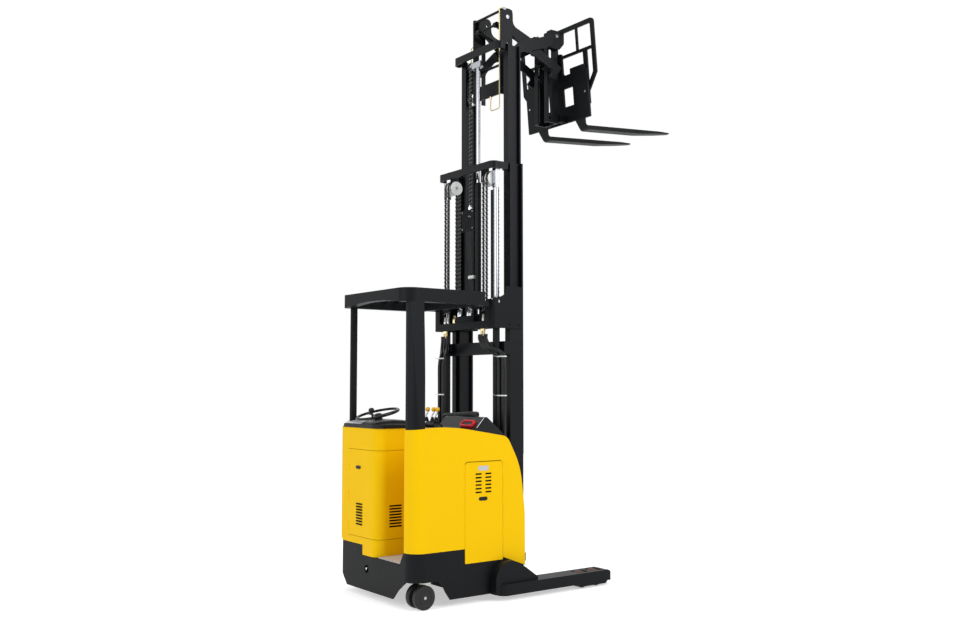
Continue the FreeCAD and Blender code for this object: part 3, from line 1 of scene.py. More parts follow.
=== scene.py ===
"""Looks for a stand-up reach truck: finishes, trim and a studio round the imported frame.

Every new piece is a surface worked out as whole arrays. Lengths are in millimetres, counted
along X from the chassis's rear face, and the workshop turns them into the frame's metres:
+X forward along the forks, +Y to the truck's left, +Z up from the floor.
"""
from __future__ import annotations

import json
import logging
import math
from dataclasses import dataclass
from enum import Enum
from functools import cached_property
from typing import Callable, Iterable, Sequence

import bmesh
import bpy
import numpy as np
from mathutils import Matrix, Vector

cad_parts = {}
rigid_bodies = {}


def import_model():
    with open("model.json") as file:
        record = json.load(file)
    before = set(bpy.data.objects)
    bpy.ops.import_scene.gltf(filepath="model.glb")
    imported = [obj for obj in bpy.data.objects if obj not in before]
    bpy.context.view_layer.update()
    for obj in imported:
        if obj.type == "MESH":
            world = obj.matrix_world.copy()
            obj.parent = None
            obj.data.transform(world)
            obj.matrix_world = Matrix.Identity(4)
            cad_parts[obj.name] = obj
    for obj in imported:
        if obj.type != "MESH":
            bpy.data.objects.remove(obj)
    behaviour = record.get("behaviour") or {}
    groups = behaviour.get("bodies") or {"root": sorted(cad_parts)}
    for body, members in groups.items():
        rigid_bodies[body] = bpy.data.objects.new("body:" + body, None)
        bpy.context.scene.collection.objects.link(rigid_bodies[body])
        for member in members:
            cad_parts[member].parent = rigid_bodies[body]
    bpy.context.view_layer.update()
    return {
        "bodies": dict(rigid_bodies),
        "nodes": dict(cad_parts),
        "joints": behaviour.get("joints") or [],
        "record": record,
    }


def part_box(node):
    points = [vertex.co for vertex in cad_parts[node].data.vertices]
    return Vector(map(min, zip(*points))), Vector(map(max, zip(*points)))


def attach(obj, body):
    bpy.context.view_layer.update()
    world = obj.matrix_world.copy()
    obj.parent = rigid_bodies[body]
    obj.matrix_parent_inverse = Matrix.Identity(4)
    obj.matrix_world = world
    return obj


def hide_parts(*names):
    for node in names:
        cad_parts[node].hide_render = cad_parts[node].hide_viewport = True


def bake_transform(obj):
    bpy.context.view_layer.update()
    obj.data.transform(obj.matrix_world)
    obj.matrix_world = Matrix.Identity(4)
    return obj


LOG = logging.getLogger("reach_truck")
MM = 0.001
MERGE_GAP = 2e-6
SHARP_ANGLE = math.radians(38)

Array = np.ndarray
Triple = tuple[float, float, float]
Profile = Sequence[tuple[float, float]]
Colour = tuple[float, float, float, float]

AHEAD: Triple = (1.0, 0.0, 0.0)
LEFT: Triple = (0.0, 1.0, 0.0)
UP: Triple = (0.0, 0.0, 1.0)
BEHIND: Triple = (-1.0, 0.0, 0.0)

WHITE: Colour = (1.0, 1.0, 1.0, 1.0)
MID_GREY: Colour = (0.5, 0.5, 0.5, 1.0)
BLACK: Colour = (0.0, 0.0, 0.0, 1.0)


# ------------------------------------------------------------------ colours and finishes

def linear(red: int, green: int, blue: int) -> Colour:
    """Turn a screen colour into the linear one that shaders use.

    Args:
        red, green, blue: channels from 0 to 255.

    Returns:
        Linear red, green, blue and an alpha of one.
    """
    parts = [value / 255 for value in (red, green, blue)]
    low = [p / 12.92 if p <= 0.04045 else ((p + 0.055) / 1.055) ** 2.4 for p in parts]
    return low[0], low[1], low[2], 1.0


class Board:
    """Places shader nodes in a tree and wires them."""

    def __init__(self, tree: bpy.types.NodeTree) -> None:
        """Work on one tree."""
        self.tree = tree

    def feed(self, socket: bpy.types.NodeSocket, source: object) -> None:
        """Link an input to another node's output, or set its plain value.

        Args:
            socket: the input.
            source: an output socket, or a value.
        """
        if isinstance(source, bpy.types.NodeSocket):
            self.tree.links.new(source, socket)
        else:
            socket.default_value = source

    def node(self, kind: str, sources: dict[str | int, object] | None = None,
             **traits: object) -> bpy.types.Node:
        """Place a node.

        Args:
            kind: its type, after the words ShaderNode.
            sources: what feeds each of its inputs.
            traits: its own settings.

        Returns:
            The node.
        """
        placed = self.tree.nodes.new("ShaderNode" + kind)
        for trait, value in traits.items():
            setattr(placed, trait, value)
        for name, source in (sources or {}).items():
            self.feed(placed.inputs[name], source)
        return placed

    def noise(self, place: object, scale: object, detail: float = 2) -> bpy.types.NodeSocket:
        """Give a noise over a place."""
        return self.node("TexNoise", {"Vector": place, "Scale": scale,
                                      "Detail": detail}).outputs["Fac"]

    def math(self, operation: str, *sources: object) -> bpy.types.NodeSocket:
        """Give one sum of up to three sources."""
        return self.node("Math", dict(enumerate(sources)), operation=operation).outputs[0]

    def ramp(self, value: object, low: float, high: float = 1.0) -> bpy.types.NodeSocket:
        """Give nought below a low value and one above a high one."""
        return self.node("MapRange", {"Value": value, "From Min": low,
                                      "From Max": high}).outputs["Result"]

    def mix(self, share: object, first: object, second: object) -> bpy.types.NodeSocket:
        """Give a colour that goes from the first to the second as the share grows."""
        return self.node("Mix", {"Factor": share, "A": first, "B": second},
                         data_type="RGBA").outputs["Result"]


class Effect(Enum):
    """Shader groups that several finishes share."""

    GRAIN = "surface_grain"
    SCUFF = "fine_scuffs"
    DUST = "settled_dust"
    RIBS_AND_GROOVE_SHADE = "ribs_and_groove_shade"


class EffectLibrary:
    """Builds each shared shader group once and hands it out."""

    def __init__(self) -> None:
        """Start with no groups built."""
        self._made: dict[Effect, bpy.types.NodeTree] = {}

    def get(self, effect: Effect) -> bpy.types.NodeTree:
        """Give a shared group, building it the first time.

        Args:
            effect: which group.

        Returns:
            The node group.
        """
        if effect not in self._made:
            maker = {Effect.GRAIN: self._grain, Effect.SCUFF: self._scuff,
                     Effect.DUST: self._dust, Effect.RIBS_AND_GROOVE_SHADE: self._ribs_and_groove_shade}
            self._made[effect] = maker[effect]()
        return self._made[effect]

    @staticmethod
    def _start(effect: Effect, inputs: dict[str, float | Colour], outputs: Sequence[str] = (),
               ) -> tuple[Board, bpy.types.NodeOutputs, bpy.types.NodeInputs]:
        """Make a group that takes a place and a colour and gives a colour.

        Args:
            effect: which group.
            inputs: its further inputs, with a colour or number as each one's default.
            outputs: the numbers that it gives besides the colour.

        Returns:
            Its board, what it is given, and what it has to give.
        """
        tree = bpy.data.node_groups.new(effect.value, "ShaderNodeTree")
        socket = tree.interface.new_socket
        socket("Vector", in_out="INPUT", socket_type="NodeSocketVector")
        for word, value in {"Colour": MID_GREY, **inputs}.items():
            kind = "NodeSocketColor" if isinstance(value, tuple) else "NodeSocketFloat"
            socket(word, in_out="INPUT", socket_type=kind).default_value = value
        socket("Colour", in_out="OUTPUT", socket_type="NodeSocketColor")
        for word in outputs:
            socket(word, in_out="OUTPUT", socket_type="NodeSocketFloat")
        given = tree.nodes.new("NodeGroupInput").outputs
        return Board(tree), given, tree.nodes.new("NodeGroupOutput").inputs

    def _grain(self) -> bpy.types.NodeTree:
        """Fine and coarse noise: a height, a roughness and a slightly varied colour.

        Returns:
            The node group.
        """
        board, given, gives = self._start(
            Effect.GRAIN, {"Roughness": 0.4, "Scale": 800.0, "Mottle": 0.05, "Spread": 0.1},
            ("Roughness", "Height"))
        coarse = board.noise(given["Vector"], 7, 5)
        board.feed(gives["Height"], board.noise(given["Vector"], given["Scale"], 3))
        board.feed(gives["Roughness"],
                   board.math("MULTIPLY_ADD", coarse, given["Spread"], given["Roughness"]))
        shade = board.math("MULTIPLY", coarse, given["Mottle"])
        board.feed(gives["Colour"], board.mix(shade, given["Colour"], BLACK))
        return board.tree

    def _scuff(self) -> bpy.types.NodeTree:
        """Thin pale scratches: a stretched noise near its middle value, kept to patches.

        Returns:
            The node group.
        """
        board, given, gives = self._start(Effect.SCUFF, {"Bare": (0.6, 0.6, 0.6, 1.0),
                                                         "Amount": 0.2})
        stretch = board.node("Mapping", {"Vector": given["Vector"], "Scale": (30, 30, 3),
                                         "Rotation": (0.3, 0.2, 0)})
        line = board.ramp(board.noise(stretch.outputs["Vector"], 2, 6), 0.62, 0.70)
        where = board.ramp(board.noise(given["Vector"], 5), 0.5, 0.7)
        share = board.math("MULTIPLY", board.math("MULTIPLY", line, where), given["Amount"])
        board.feed(gives["Colour"], board.mix(share, given["Colour"], given["Bare"]))
        return board.tree

    def _ribs_and_groove_shade(self) -> bpy.types.NodeTree:
        """Ridges across the truck, as a height, and painted shade: a darker colour in the grooves.

        Returns:
            The node group.
        """
        board, given, gives = self._start(Effect.RIBS_AND_GROOVE_SHADE, {"Scale": 20.0, "Depth": 0.4},
                                          ("Height",))
        wave = board.node("TexWave", {"Vector": given["Vector"], "Scale": given["Scale"]},
                          bands_direction="Y").outputs["Fac"]
        # darken towards black with the ridge pattern: painted shade in the grooves
        groove_shade = board.math("MULTIPLY", wave, given["Depth"])
        board.feed(gives["Colour"], board.mix(groove_shade, given["Colour"], BLACK))
        board.feed(gives["Height"], wave)
        return board.tree

    def _dust(self) -> bpy.types.NodeTree:
        """A thin pale film on faces that look up, in soft patches.

        Returns:
            The node group.
        """
        board, given, gives = self._start(Effect.DUST, {"Film": (0.55, 0.53, 0.5, 1.0),
                                                        "Amount": 0.1})
        normal = board.node("NewGeometry").outputs["Normal"]
        upward = board.ramp(board.node("SeparateXYZ", {0: normal}).outputs["Z"], 0.3)
        patch = board.math("MULTIPLY", upward, board.noise(given["Vector"], 9))
        share = board.math("MULTIPLY", patch, given["Amount"])
        board.feed(gives["Colour"], board.mix(share, given["Colour"], given["Film"]))
        return board.tree


@dataclass(frozen=True)
class Finish:
    """One surface finish.

    Colours are screen colours, grain and ribs are pattern scales, and height is in metres.
    The slot is the record's material slot that the finish belongs to.
    """

    name: str
    slot: str | None
    colour: tuple[int, int, int]
    roughness: float = 0.4
    metallic: float = 0.0
    shine: float = 0.5
    grain: float = 900.0
    height: float = 0.00002
    mottle: float = 0.04
    spread: float = 0.08
    wear: float = 0.0
    bare: tuple[int, int, int] = (150, 150, 150)
    dust: float = 0.0
    ribs: float = 0.0
    # painted shade: how far the ribs' grooves are darkened
    rib_groove_shade: float = 0.3
    rib_height: float = 0.0015

    def build(self, library: EffectLibrary) -> bpy.types.Material:
        """Make the material.

        Args:
            library: the shared shader groups.

        Returns:
            A node material.
        """
        material = bpy.data.materials.new(self.name)
        material.use_nodes = True
        board = Board(material.node_tree)
        place = board.node("TexCoord").outputs["Object"]
        grain = self._effect(board, library, Effect.GRAIN, place, linear(*self.colour), {
            "Roughness": max(self.roughness - self.spread / 2, 0.02), "Scale": self.grain,
            "Mottle": self.mottle, "Spread": self.spread})
        colour = grain["Colour"]
        if self.wear:
            colour = self._effect(board, library, Effect.SCUFF, place, colour, {
                "Bare": linear(*self.bare), "Amount": self.wear})["Colour"]
        if self.dust:
            colour = self._effect(board, library, Effect.DUST, place, colour, {
                "Amount": self.dust})["Colour"]
        normal = board.node("Bump", {"Distance": self.height,
                                     "Height": grain["Height"]}).outputs["Normal"]
        # the ribs' group also darkens the colour with the ridge pattern: painted shade in the
        # grooves
        if self.ribs:
            ribs_and_shade = self._effect(board, library, Effect.RIBS_AND_GROOVE_SHADE, place, colour, {
                "Scale": self.ribs, "Depth": self.rib_groove_shade})
            colour = ribs_and_shade["Colour"]
            normal = board.node("Bump", {"Distance": self.rib_height, "Height": ribs_and_shade["Height"],
                                         "Normal": normal}).outputs["Normal"]
        shader = material.node_tree.nodes["Principled BSDF"]
        for name, source in {"Metallic": self.metallic, "Specular IOR Level": self.shine,
                             "Roughness": grain["Roughness"], "Base Color": colour,
                             "Normal": normal}.items():
            board.feed(shader.inputs[name], source)
        return material

    @staticmethod
    def _effect(board: Board, library: EffectLibrary, effect: Effect, place: object,
                colour: object, sources: dict[str, object]) -> bpy.types.NodeOutputs:
        """Place a shared group in a material.

        Args:
            board: the material's board.
            library: the shared shader groups.
            effect: which group.
            place: the spot on the piece.
            colour: the colour under the effect.
            sources: what feeds the group's other inputs.

        Returns:
            What the group gives.
        """
        return board.node("Group", {"Vector": place, "Colour": colour, **sources},
                          node_tree=library.get(effect)).outputs


YELLOW_PAINT = Finish("yellow_paint", "body_paint", (254, 203, 0), roughness=0.42, shine=0.08,
                      mottle=0.02, wear=0.05, bare=(255, 226, 110), dust=0.01)
FRAME_PAINT = Finish("charcoal_paint", "frame_paint", (17, 19, 21), roughness=0.45,
                     shine=0.12, height=0.00004, wear=0.10, bare=(84, 86, 90), dust=0.02)
MAST_PAINT = Finish("mast_paint", "mast_paint", (16, 18, 21), roughness=0.38, shine=0.15,
                    height=0.00003, wear=0.10, bare=(84, 86, 90), dust=0.02)
BLACK_PLASTIC = Finish("black_moulding", "black_plastic", (13, 14, 16), roughness=0.3,
                       shine=0.24, grain=1500, height=0.00005, dust=0.03)
VINYL = Finish("pad_vinyl", "pad_vinyl", (20, 21, 23), roughness=0.45, shine=0.35, grain=700,
               height=0.0001, dust=0.04)
# its ribbed grooves are darkened: painted shade
MAT = Finish("mat_rubber", "mat_rubber", (214, 209, 203), roughness=0.7, shine=0.2, grain=300,
             height=0.0002, ribs=9.0, rib_groove_shade=0.25)
RED_PLASTIC = Finish("red_moulding", "red_plastic", (214, 16, 38), roughness=0.3, shine=0.4)
TREAD = Finish("wheel_tread", "wheel_tread", (84, 52, 38), roughness=0.5, shine=0.3,
               grain=500, height=0.0001)
CASTER_TREAD = Finish("caster_tread", "caster_tread", (30, 29, 30), roughness=0.5, shine=0.3,
                      grain=500, height=0.0001)
CHROME = Finish("plated_rod", "bright_rod", (182, 185, 190), roughness=0.16, metallic=1.0,
                mottle=0.02, spread=0.05)
ZINC = Finish("zinc_steel", "zinc_steel", (186, 186, 182), roughness=0.3, metallic=1.0,
              mottle=0.12)
WHITE_NYLON = Finish("white_nylon", "white_nylon", (246, 248, 244), roughness=0.35, shine=0.4)
BATTERY_CASE = Finish("battery_case", "battery_case", (50, 52, 54), roughness=0.6, shine=0.3)
KNOB = Finish("knob_moulding", "knob_plastic", (246, 190, 14), roughness=0.3, shine=0.4,
              grain=1200)

SLOT_FINISH = {finish.slot: finish for finish in (
    YELLOW_PAINT, FRAME_PAINT, MAST_PAINT, BLACK_PLASTIC, VINYL, MAT, RED_PLASTIC, TREAD,
    CASTER_TREAD, CHROME, ZINC, WHITE_NYLON, BATTERY_CASE, KNOB)}

BRASS = Finish("yellow_zinc", "zinc_steel", (210, 194, 146), roughness=0.28, metallic=1.0,
               mottle=0.15)
PLATE = Finish("blank_plate", "zinc_steel", (186, 188, 190), roughness=0.34, metallic=0.9,
               mottle=0.1)
HOSE = Finish("hose_rubber", None, (12, 13, 14), roughness=0.4, shine=0.3, grain=600,
              height=0.0001)
WRAP = Finish("spiral_wrap", None, (104, 106, 110), roughness=0.4, shine=0.4, grain=600,
              height=0.00005)
# near-black matt slips and sheets in and behind the louvres, standing in for their shade: painted
# shade
PAINTED_SHADE = Finish("painted_louvre_shade", "black_plastic", (8, 8, 9), roughness=0.9, shine=0.1)
GRIP = Finish("grip_moulding", "black_plastic", (9, 10, 11), roughness=0.24, shine=0.24,
              grain=1800, height=0.00008)
# pale grey, part metallic lines laid on black edges to stand in for their glints: painted
# highlight
PAINTED_HIGHLIGHT = Finish("painted_edge_highlight", "black_plastic", (206, 208, 212), roughness=0.35, metallic=0.4)


class Paintshop:
    """Builds each finish once and puts it on objects."""

    def __init__(self) -> None:
        """Start with empty shelves."""
        self._library = EffectLibrary()
        self._made: dict[str, bpy.types.Material] = {}

    def coat(self, piece: bpy.types.Object, finish: Finish) -> None:
        """Put one finish all over a piece.

        Args:
            piece: what is coated.
            finish: its finish, whose material is built the first time.
        """
        if finish.name not in self._made:
            self._made[finish.name] = finish.build(self._library)
        piece.data.materials.clear()
        piece.data.materials.append(self._made[finish.name])

    def coat_frame(self, frame: dict) -> None:
        """Finish every carried-over node by its slot in the record.
        """
        for part in frame["record"]["subparts"]:
            self.coat(frame["nodes"][part["node"]], SLOT_FINISH[part["material_slot"]])
            LOG.info("finished %s", part["node"])


# ------------------------------------------------------------------ shapes as arrays

@dataclass
class Patch:
    """A surface: its points in millimetres and its faces."""

    points: Array
    faces: list[list[int]]

    def turned(self, about: "Axes") -> "Patch":
        """Place points given along an axes' own three directions."""
        return Patch(about.place(self.points), self.faces)


@dataclass
class Axes:
    """A spot and three square directions, the last one being the axis."""

    spot: Sequence[float]
    axis: Triple = UP
    side: Triple | None = None

    def basis(self) -> Array:
        """Give the axis, the side less its share along the axis, and their cross product.

        Returns:
            The directions, one to a row.
        """
        along = np.array(self.axis, float)
        along /= np.linalg.norm(along)
        hint = self.side or (AHEAD if abs(along[0]) < 0.9 else LEFT)
        first = np.array(hint, float) - along * np.dot(hint, along)
        first /= np.linalg.norm(first)
        return np.array([first, np.cross(along, first), along])

    def place(self, points: Sequence) -> Array:
        """Carry points from these axes to the truck's own."""
        return np.asarray(points, float) @ self.basis() + np.array(self.spot, float)


def surface(x: Array, y: Array, z: Array | float) -> Array:
    """Put three coordinates of a grid together, each spread over the whole grid."""
    return np.stack(np.broadcast_arrays(x, y, z), -1)


def grid(points: Array, wrap_rows: bool = False, wrap_columns: bool = True) -> Patch:
    """Join a rows by columns array of points with four-sided faces.

    Args:
        points: rows x columns x 3.
        wrap_rows: whether the last row joins the first.
        wrap_columns: whether the last column joins the first.

    Returns:
        The surface; face (i, j) has corners (i, j), (i, j+1), (i+1, j+1) and (i+1, j).
    """
    rows, columns = points.shape[:2]
    row = np.arange(rows if wrap_rows else rows - 1)[:, None]
    column = np.arange(columns if wrap_columns else columns - 1)[None, :]
    after, beside = (row + 1) % rows, (column + 1) % columns
    corners = [row * columns + column, row * columns + beside, after * columns + beside,
               after * columns + column]
    return Patch(points.reshape(-1, 3), np.stack(corners, -1).reshape(-1, 4).tolist())


def capped(rings: Array, line: Array) -> Patch:
    """Join rings of points along a line, and close them at the line's two ends.

    Args:
        rings: rows x columns x 3, a ring to each point of the line.
        line: points x 3.

    Returns:
        The closed surface.
    """
    first, last = (np.repeat(line[end][None, None], rings.shape[1], 1) for end in (0, -1))
    return grid(np.concatenate([first, rings, last]))


def lathe(profile: Profile, axes: Axes, steps: int = 32) -> Patch:
    """Turn a profile round an axis: (r cos a, r sin a, h) for each (r, h) and angle a.

    Args:
        profile: radius and height pairs; a radius of nought closes an end.
        axes: where it stands; heights run along its axis.
        steps: how many angles.

    Returns:
        The turned surface.
    """
    shape = np.array(profile, float)
    angle = np.arange(steps) * math.tau / steps
    radius, height = shape[:, :1], shape[:, 1:]
    return grid(surface(radius * np.cos(angle), radius * np.sin(angle), height)).turned(axes)


def scaled(shares: Profile, radius: float, tall: float) -> Profile:
    """Turn shares of a radius and of a height into a profile."""
    return [(share * radius, level * tall) for share, level in shares]


def tube(path: Array, radius: float, side: Triple = LEFT, steps: int = 12,
         closed: bool = False) -> Patch:
    """Carry a circle along a path: each point plus r (cos a first + sin a second).

    Args:
        path: points x 3.
        radius: the tube's radius.
        side: a direction that the path is never along.
        steps: corners of the circle.
        closed: whether the path comes back to its start.

    Returns:
        The tube, with closed ends.
    """
    line = np.asarray(path, float)
    along = np.roll(line, -1, 0) - np.roll(line, 1, 0) if closed else np.gradient(line, axis=0)
    along /= np.linalg.norm(along, axis=1, keepdims=True)
    first = np.cross(np.array(side), along)
    first /= np.linalg.norm(first, axis=1, keepdims=True)
    second = np.cross(along, first)
    angle = np.arange(steps)[None, :, None] * math.tau / steps
    rings = line[:, None] + radius * (np.cos(angle) * first[:, None]
                                      + np.sin(angle) * second[:, None])
    return grid(rings, wrap_rows=True) if closed else capped(rings, line)


def curve(knots: Sequence[Triple], count: int = 24) -> Array:
    """Draw a smooth line through knots, each stretch a cubic with Catmull-Rom slopes.

    Args:
        knots: points it passes through.
        count: samples in each stretch.

    Returns:
        The line's points.
    """
    knot = np.array(knots, float)
    slope = np.gradient(knot, axis=0)
    t = np.linspace(0, 1, count, endpoint=False)[:, None]
    blends = (2 * t ** 3 - 3 * t ** 2 + 1, t ** 3 - 2 * t ** 2 + t,
              3 * t ** 2 - 2 * t ** 3, t ** 3 - t ** 2)
    parts = [blends[0] * knot[i] + blends[1] * slope[i] + blends[2] * knot[i + 1]
             + blends[3] * slope[i + 1] for i in range(len(knot) - 1)]
    return np.concatenate(parts + [knot[-1:]])


def straight(start: Triple, end: Triple, gap: float) -> Array:
    """Give evenly spaced points between two places.

    Args:
        start, end: the places.
        gap: about how far apart the points are.

    Returns:
        The points.
    """
    a, b = np.array(start, float), np.array(end, float)
    count = max(int(np.linalg.norm(b - a) / gap), 2)
    return a + (b - a) * np.linspace(0, 1, count)[:, None]


def bend(centre: Triple, radius: float, start: float, end: float, across: Triple,
         count: int = 9) -> Array:
    """Give points on an upright arc: centre + r (cos a across + sin a up).

    Args:
        centre: the arc's centre.
        radius: its radius.
        start, end: its first and last angle, in degrees.
        across: the level direction at nought degrees.
        count: how many points.

    Returns:
        The points.
    """
    angle = np.radians(np.linspace(start, end, count))[:, None]
    return (np.array(centre, float) + radius * np.cos(angle) * np.array(across, float)
            + radius * np.sin(angle) * np.array(UP))


def rounded(wide: float, high: float, radius: float, steps: int = 8) -> Array:
    """Outline a rounded rectangle round the origin: a quarter circle at each corner.

    Args:
        wide, high: its size.
        radius: its corners' radius, cut down to half its size.
        steps: points in each corner.

    Returns:
        The outline's points, going round to the left.
    """
    radius = min(radius, wide / 2, high / 2)
    angle = (np.arange(4)[:, None] * 90 + np.linspace(0, 90, steps)[None, :]) * math.pi / 180
    sign = np.array([(1, 1), (-1, 1), (-1, -1), (1, -1)], float)
    middle = sign * np.array([wide / 2 - radius, high / 2 - radius])
    ring = np.stack([np.cos(angle), np.sin(angle)], -1) * radius
    return (middle[:, None] + ring).reshape(-1, 2)


def hexagon(across: float) -> Array:
    """Outline a hexagon by its width across flats."""
    angle = np.arange(6) * math.tau / 6
    return np.stack([np.cos(angle), np.sin(angle)], 1) * across / math.sqrt(3)


def prism(outline: Array, low: float, high: float, axes: Axes, edge: float = 0.0) -> Patch:
    """Raise an outline along an axis, with its rims cut back by an edge width.

    Each rim ring is the outline moved in by the edge along its corners' bisectors.

    Args:
        outline: corners x 2, going round to the left.
        low, high: heights of its two faces.
        axes: its own directions.
        edge: how far the rims are cut back.

    Returns:
        A closed block.
    """
    run = np.roll(outline, -1, 0) - outline
    run /= np.maximum(np.linalg.norm(run, axis=1, keepdims=True), 1e-9)
    normal = np.stack([-run[:, 1], run[:, 0]], 1)
    other = np.roll(normal, 1, 0)
    inward = (normal + other) / (1 + np.sum(normal * other, 1, keepdims=True)).clip(0.2)
    count = len(outline)
    rings = [np.column_stack([outline + inward * cut, np.full(count, level)])
             for level, cut in ((low, edge), (low + edge, 0), (high - edge, 0), (high, edge))]
    patch = grid(np.stack(rings)).turned(axes)
    patch.faces += [list(range(count))[::-1], list(range(3 * count, 4 * count))]
    return patch


def bolt(spot: Sequence[float], axis: Triple, size: float) -> list[Patch]:
    """Give a hexagon bolt head on its washer.

    Args:
        spot: the middle of the washer's underside.
        axis: the way the head points.
        size: the thread's diameter.

    Returns:
        The washer, the head and its dome.
    """
    axes = Axes(spot, axis)
    washer = lathe([(0, -0.5), (size, -0.5), (size, size * 0.14), (0, size * 0.14)], axes, 24)
    head = prism(hexagon(size * 1.6), size * 0.1, size * 0.62, axes, size * 0.07)
    return [washer, head, lathe(scaled([(0.62, 0.6), (0.5, 0.66), (0, 0.68)], size, size),
                                axes, 16)]


def socket_cap(spot: Sequence[float], axis: Triple, radius: float) -> list[Patch]:
    """Give a round cap screw: a turned head with a sunk hollow in its face.

    Args:
        spot: the middle of the head's underside.
        axis: the way the head points.
        radius: the head's radius.

    Returns:
        The head.
    """
    face = scaled([(1, 0.8), (0.86, 1), (0.5, 1), (0.45, 0.5), (0, 0.5)], radius, radius)
    return [lathe([(0, -0.5), (radius, -0.5), *face], Axes(spot, axis), 24)]


def joined(patches: Iterable[Patch]) -> Patch:
    """Put several surfaces into one.

    Args:
        patches: the surfaces.

    Returns:
        One surface with all their points and faces.
    """
    points, faces, start = [], [], 0
    for patch in patches:
        points.append(patch.points)
        faces += [[corner + start for corner in face] for face in patch.faces]
        start += len(patch.points)
    return Patch(np.concatenate(points), faces)


# ------------------------------------------------------------------ workshop

@dataclass(frozen=True)
class Stretch:
    """Names another body and a span from start to end, for a piece that runs between its own body
    and that one.
    """

    other: str
    start: Triple
    end: Triple


@dataclass(frozen=True)
class Box:
    """A node's lowest and highest corners."""

    low: Array
    high: Array

    @property
    def middle(self) -> Array:
        """The box's middle."""
        return (self.low + self.high) / 2

    @property
    def size(self) -> Array:
        """The box's three sizes."""
        return self.high - self.low

    @property
    def sides(self) -> tuple[tuple[float, float], ...]:
        """The truck's right side as -1 and its left as 1, each with the box's face there."""
        return (-1.0, float(self.low[1])), (1.0, float(self.high[1]))


class Workshop:
    """Turns surfaces into finished pieces on the truck's bodies."""

    def __init__(self, frame: dict) -> None:
        """Coat the frame, and take the rear face of the chassis as the start of lengths.
        """
        self._paints = Paintshop()
        self._paints.coat_frame(frame)
        self._shift = np.array([float(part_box("chassis_frame")[0][0]) / MM, 0, 0])

    def box(self, node: str) -> Box:
        """Give a node's box in millimetres from the rear face."""
        return Box(*(np.array([float(v) for v in corner]) / MM - self._shift
                     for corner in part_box(node)))

    def _metres(self, spot: Sequence[float]) -> Array:
        """Turn millimetres from the rear face into the frame's metres."""
        return (np.asarray(spot, float) + self._shift) * MM

    def add(self, name: str, patches: Iterable[Patch], finish: Finish, body: str = "chassis",
            replaces: Sequence[str] = (), stretch: Stretch | None = None) -> bpy.types.Object:
        """Make one finished piece.

        Args:
            name: the piece's name.
            patches: its surfaces.
            finish: what it is coated with.
            body: the body that it rides on.
            replaces: CAD nodes that it stands for.
            stretch: a span over to another body; given one, the piece is baked in place and left
                unattached, and no bend is set up.

        Returns:
            The piece.
        """
        whole = joined(patches)
        mesh = bpy.data.meshes.new(name)
        mesh.from_pydata(self._metres(whole.points).tolist(), [], whole.faces)
        shell = bmesh.new()
        shell.from_mesh(mesh)
        bmesh.ops.remove_doubles(shell, verts=shell.verts, dist=MERGE_GAP)
        bmesh.ops.recalc_face_normals(shell, faces=shell.faces)
        shell.to_mesh(mesh)
        shell.free()
        mesh.shade_smooth()
        mesh.set_sharp_from_angle(angle=SHARP_ANGLE)
        piece = bpy.data.objects.new(name, mesh)
        bpy.context.scene.collection.objects.link(piece)
        self._paints.coat(piece, finish)
        if replaces:
            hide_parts(*replaces)
        if stretch:
            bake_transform(piece)
        else:
            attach(piece, body)
        LOG.info("made %s, %d faces, on %s", name, len(mesh.polygons), body)
        return piece


@dataclass
class Assembly:
    """A group of trim pieces, made in a workshop."""

    shop: Workshop

    @property
    def add(self) -> Callable[..., bpy.types.Object]:
        """The workshop's way of making a piece."""
        return self.shop.add

    @property
    def box(self) -> Callable[[str], Box]:
        """The workshop's way of finding a node's box."""
        return self.shop.box

    def build(self) -> None:
        """Make the pieces."""
        raise NotImplementedError


# ------------------------------------------------------------------ driver's place

def bulb(wide: float, power: float, middle: float, tall: float, start: float,
         count: int) -> Profile:
    """Round a knob's profile: (w cos^p a, m + h sin a), up to an angle of 90 degrees.

    Args:
        wide, power: the w and p of its radius.
        middle, tall: the m and h of its height.
        start: the first angle, in degrees.
        count: how many angles.

    Returns:
        Radius and height pairs.
    """
    turn = np.radians(np.linspace(start, 90, count))
    return list(zip(wide * np.cos(turn) ** power, middle + tall * np.sin(turn)))


def squared(wave: Array, power: float) -> Array:
    """Swell a wave towards its extremes, keeping its sign: sign(w) |w|^p."""
    return np.sign(wave) * np.abs(wave) ** power


def skin(top: Array, base: Array | float) -> Patch:
    """Close a sheet by laying its rows back at a base height.

    Args:
        top: rows x columns x 3.
        base: the height of the underside.

    Returns:
        The sheet, open at its two sides.
    """
    under = top.copy()
    under[..., 2] = base
    return grid(np.concatenate([top, under[::-1]]), wrap_rows=True, wrap_columns=False)


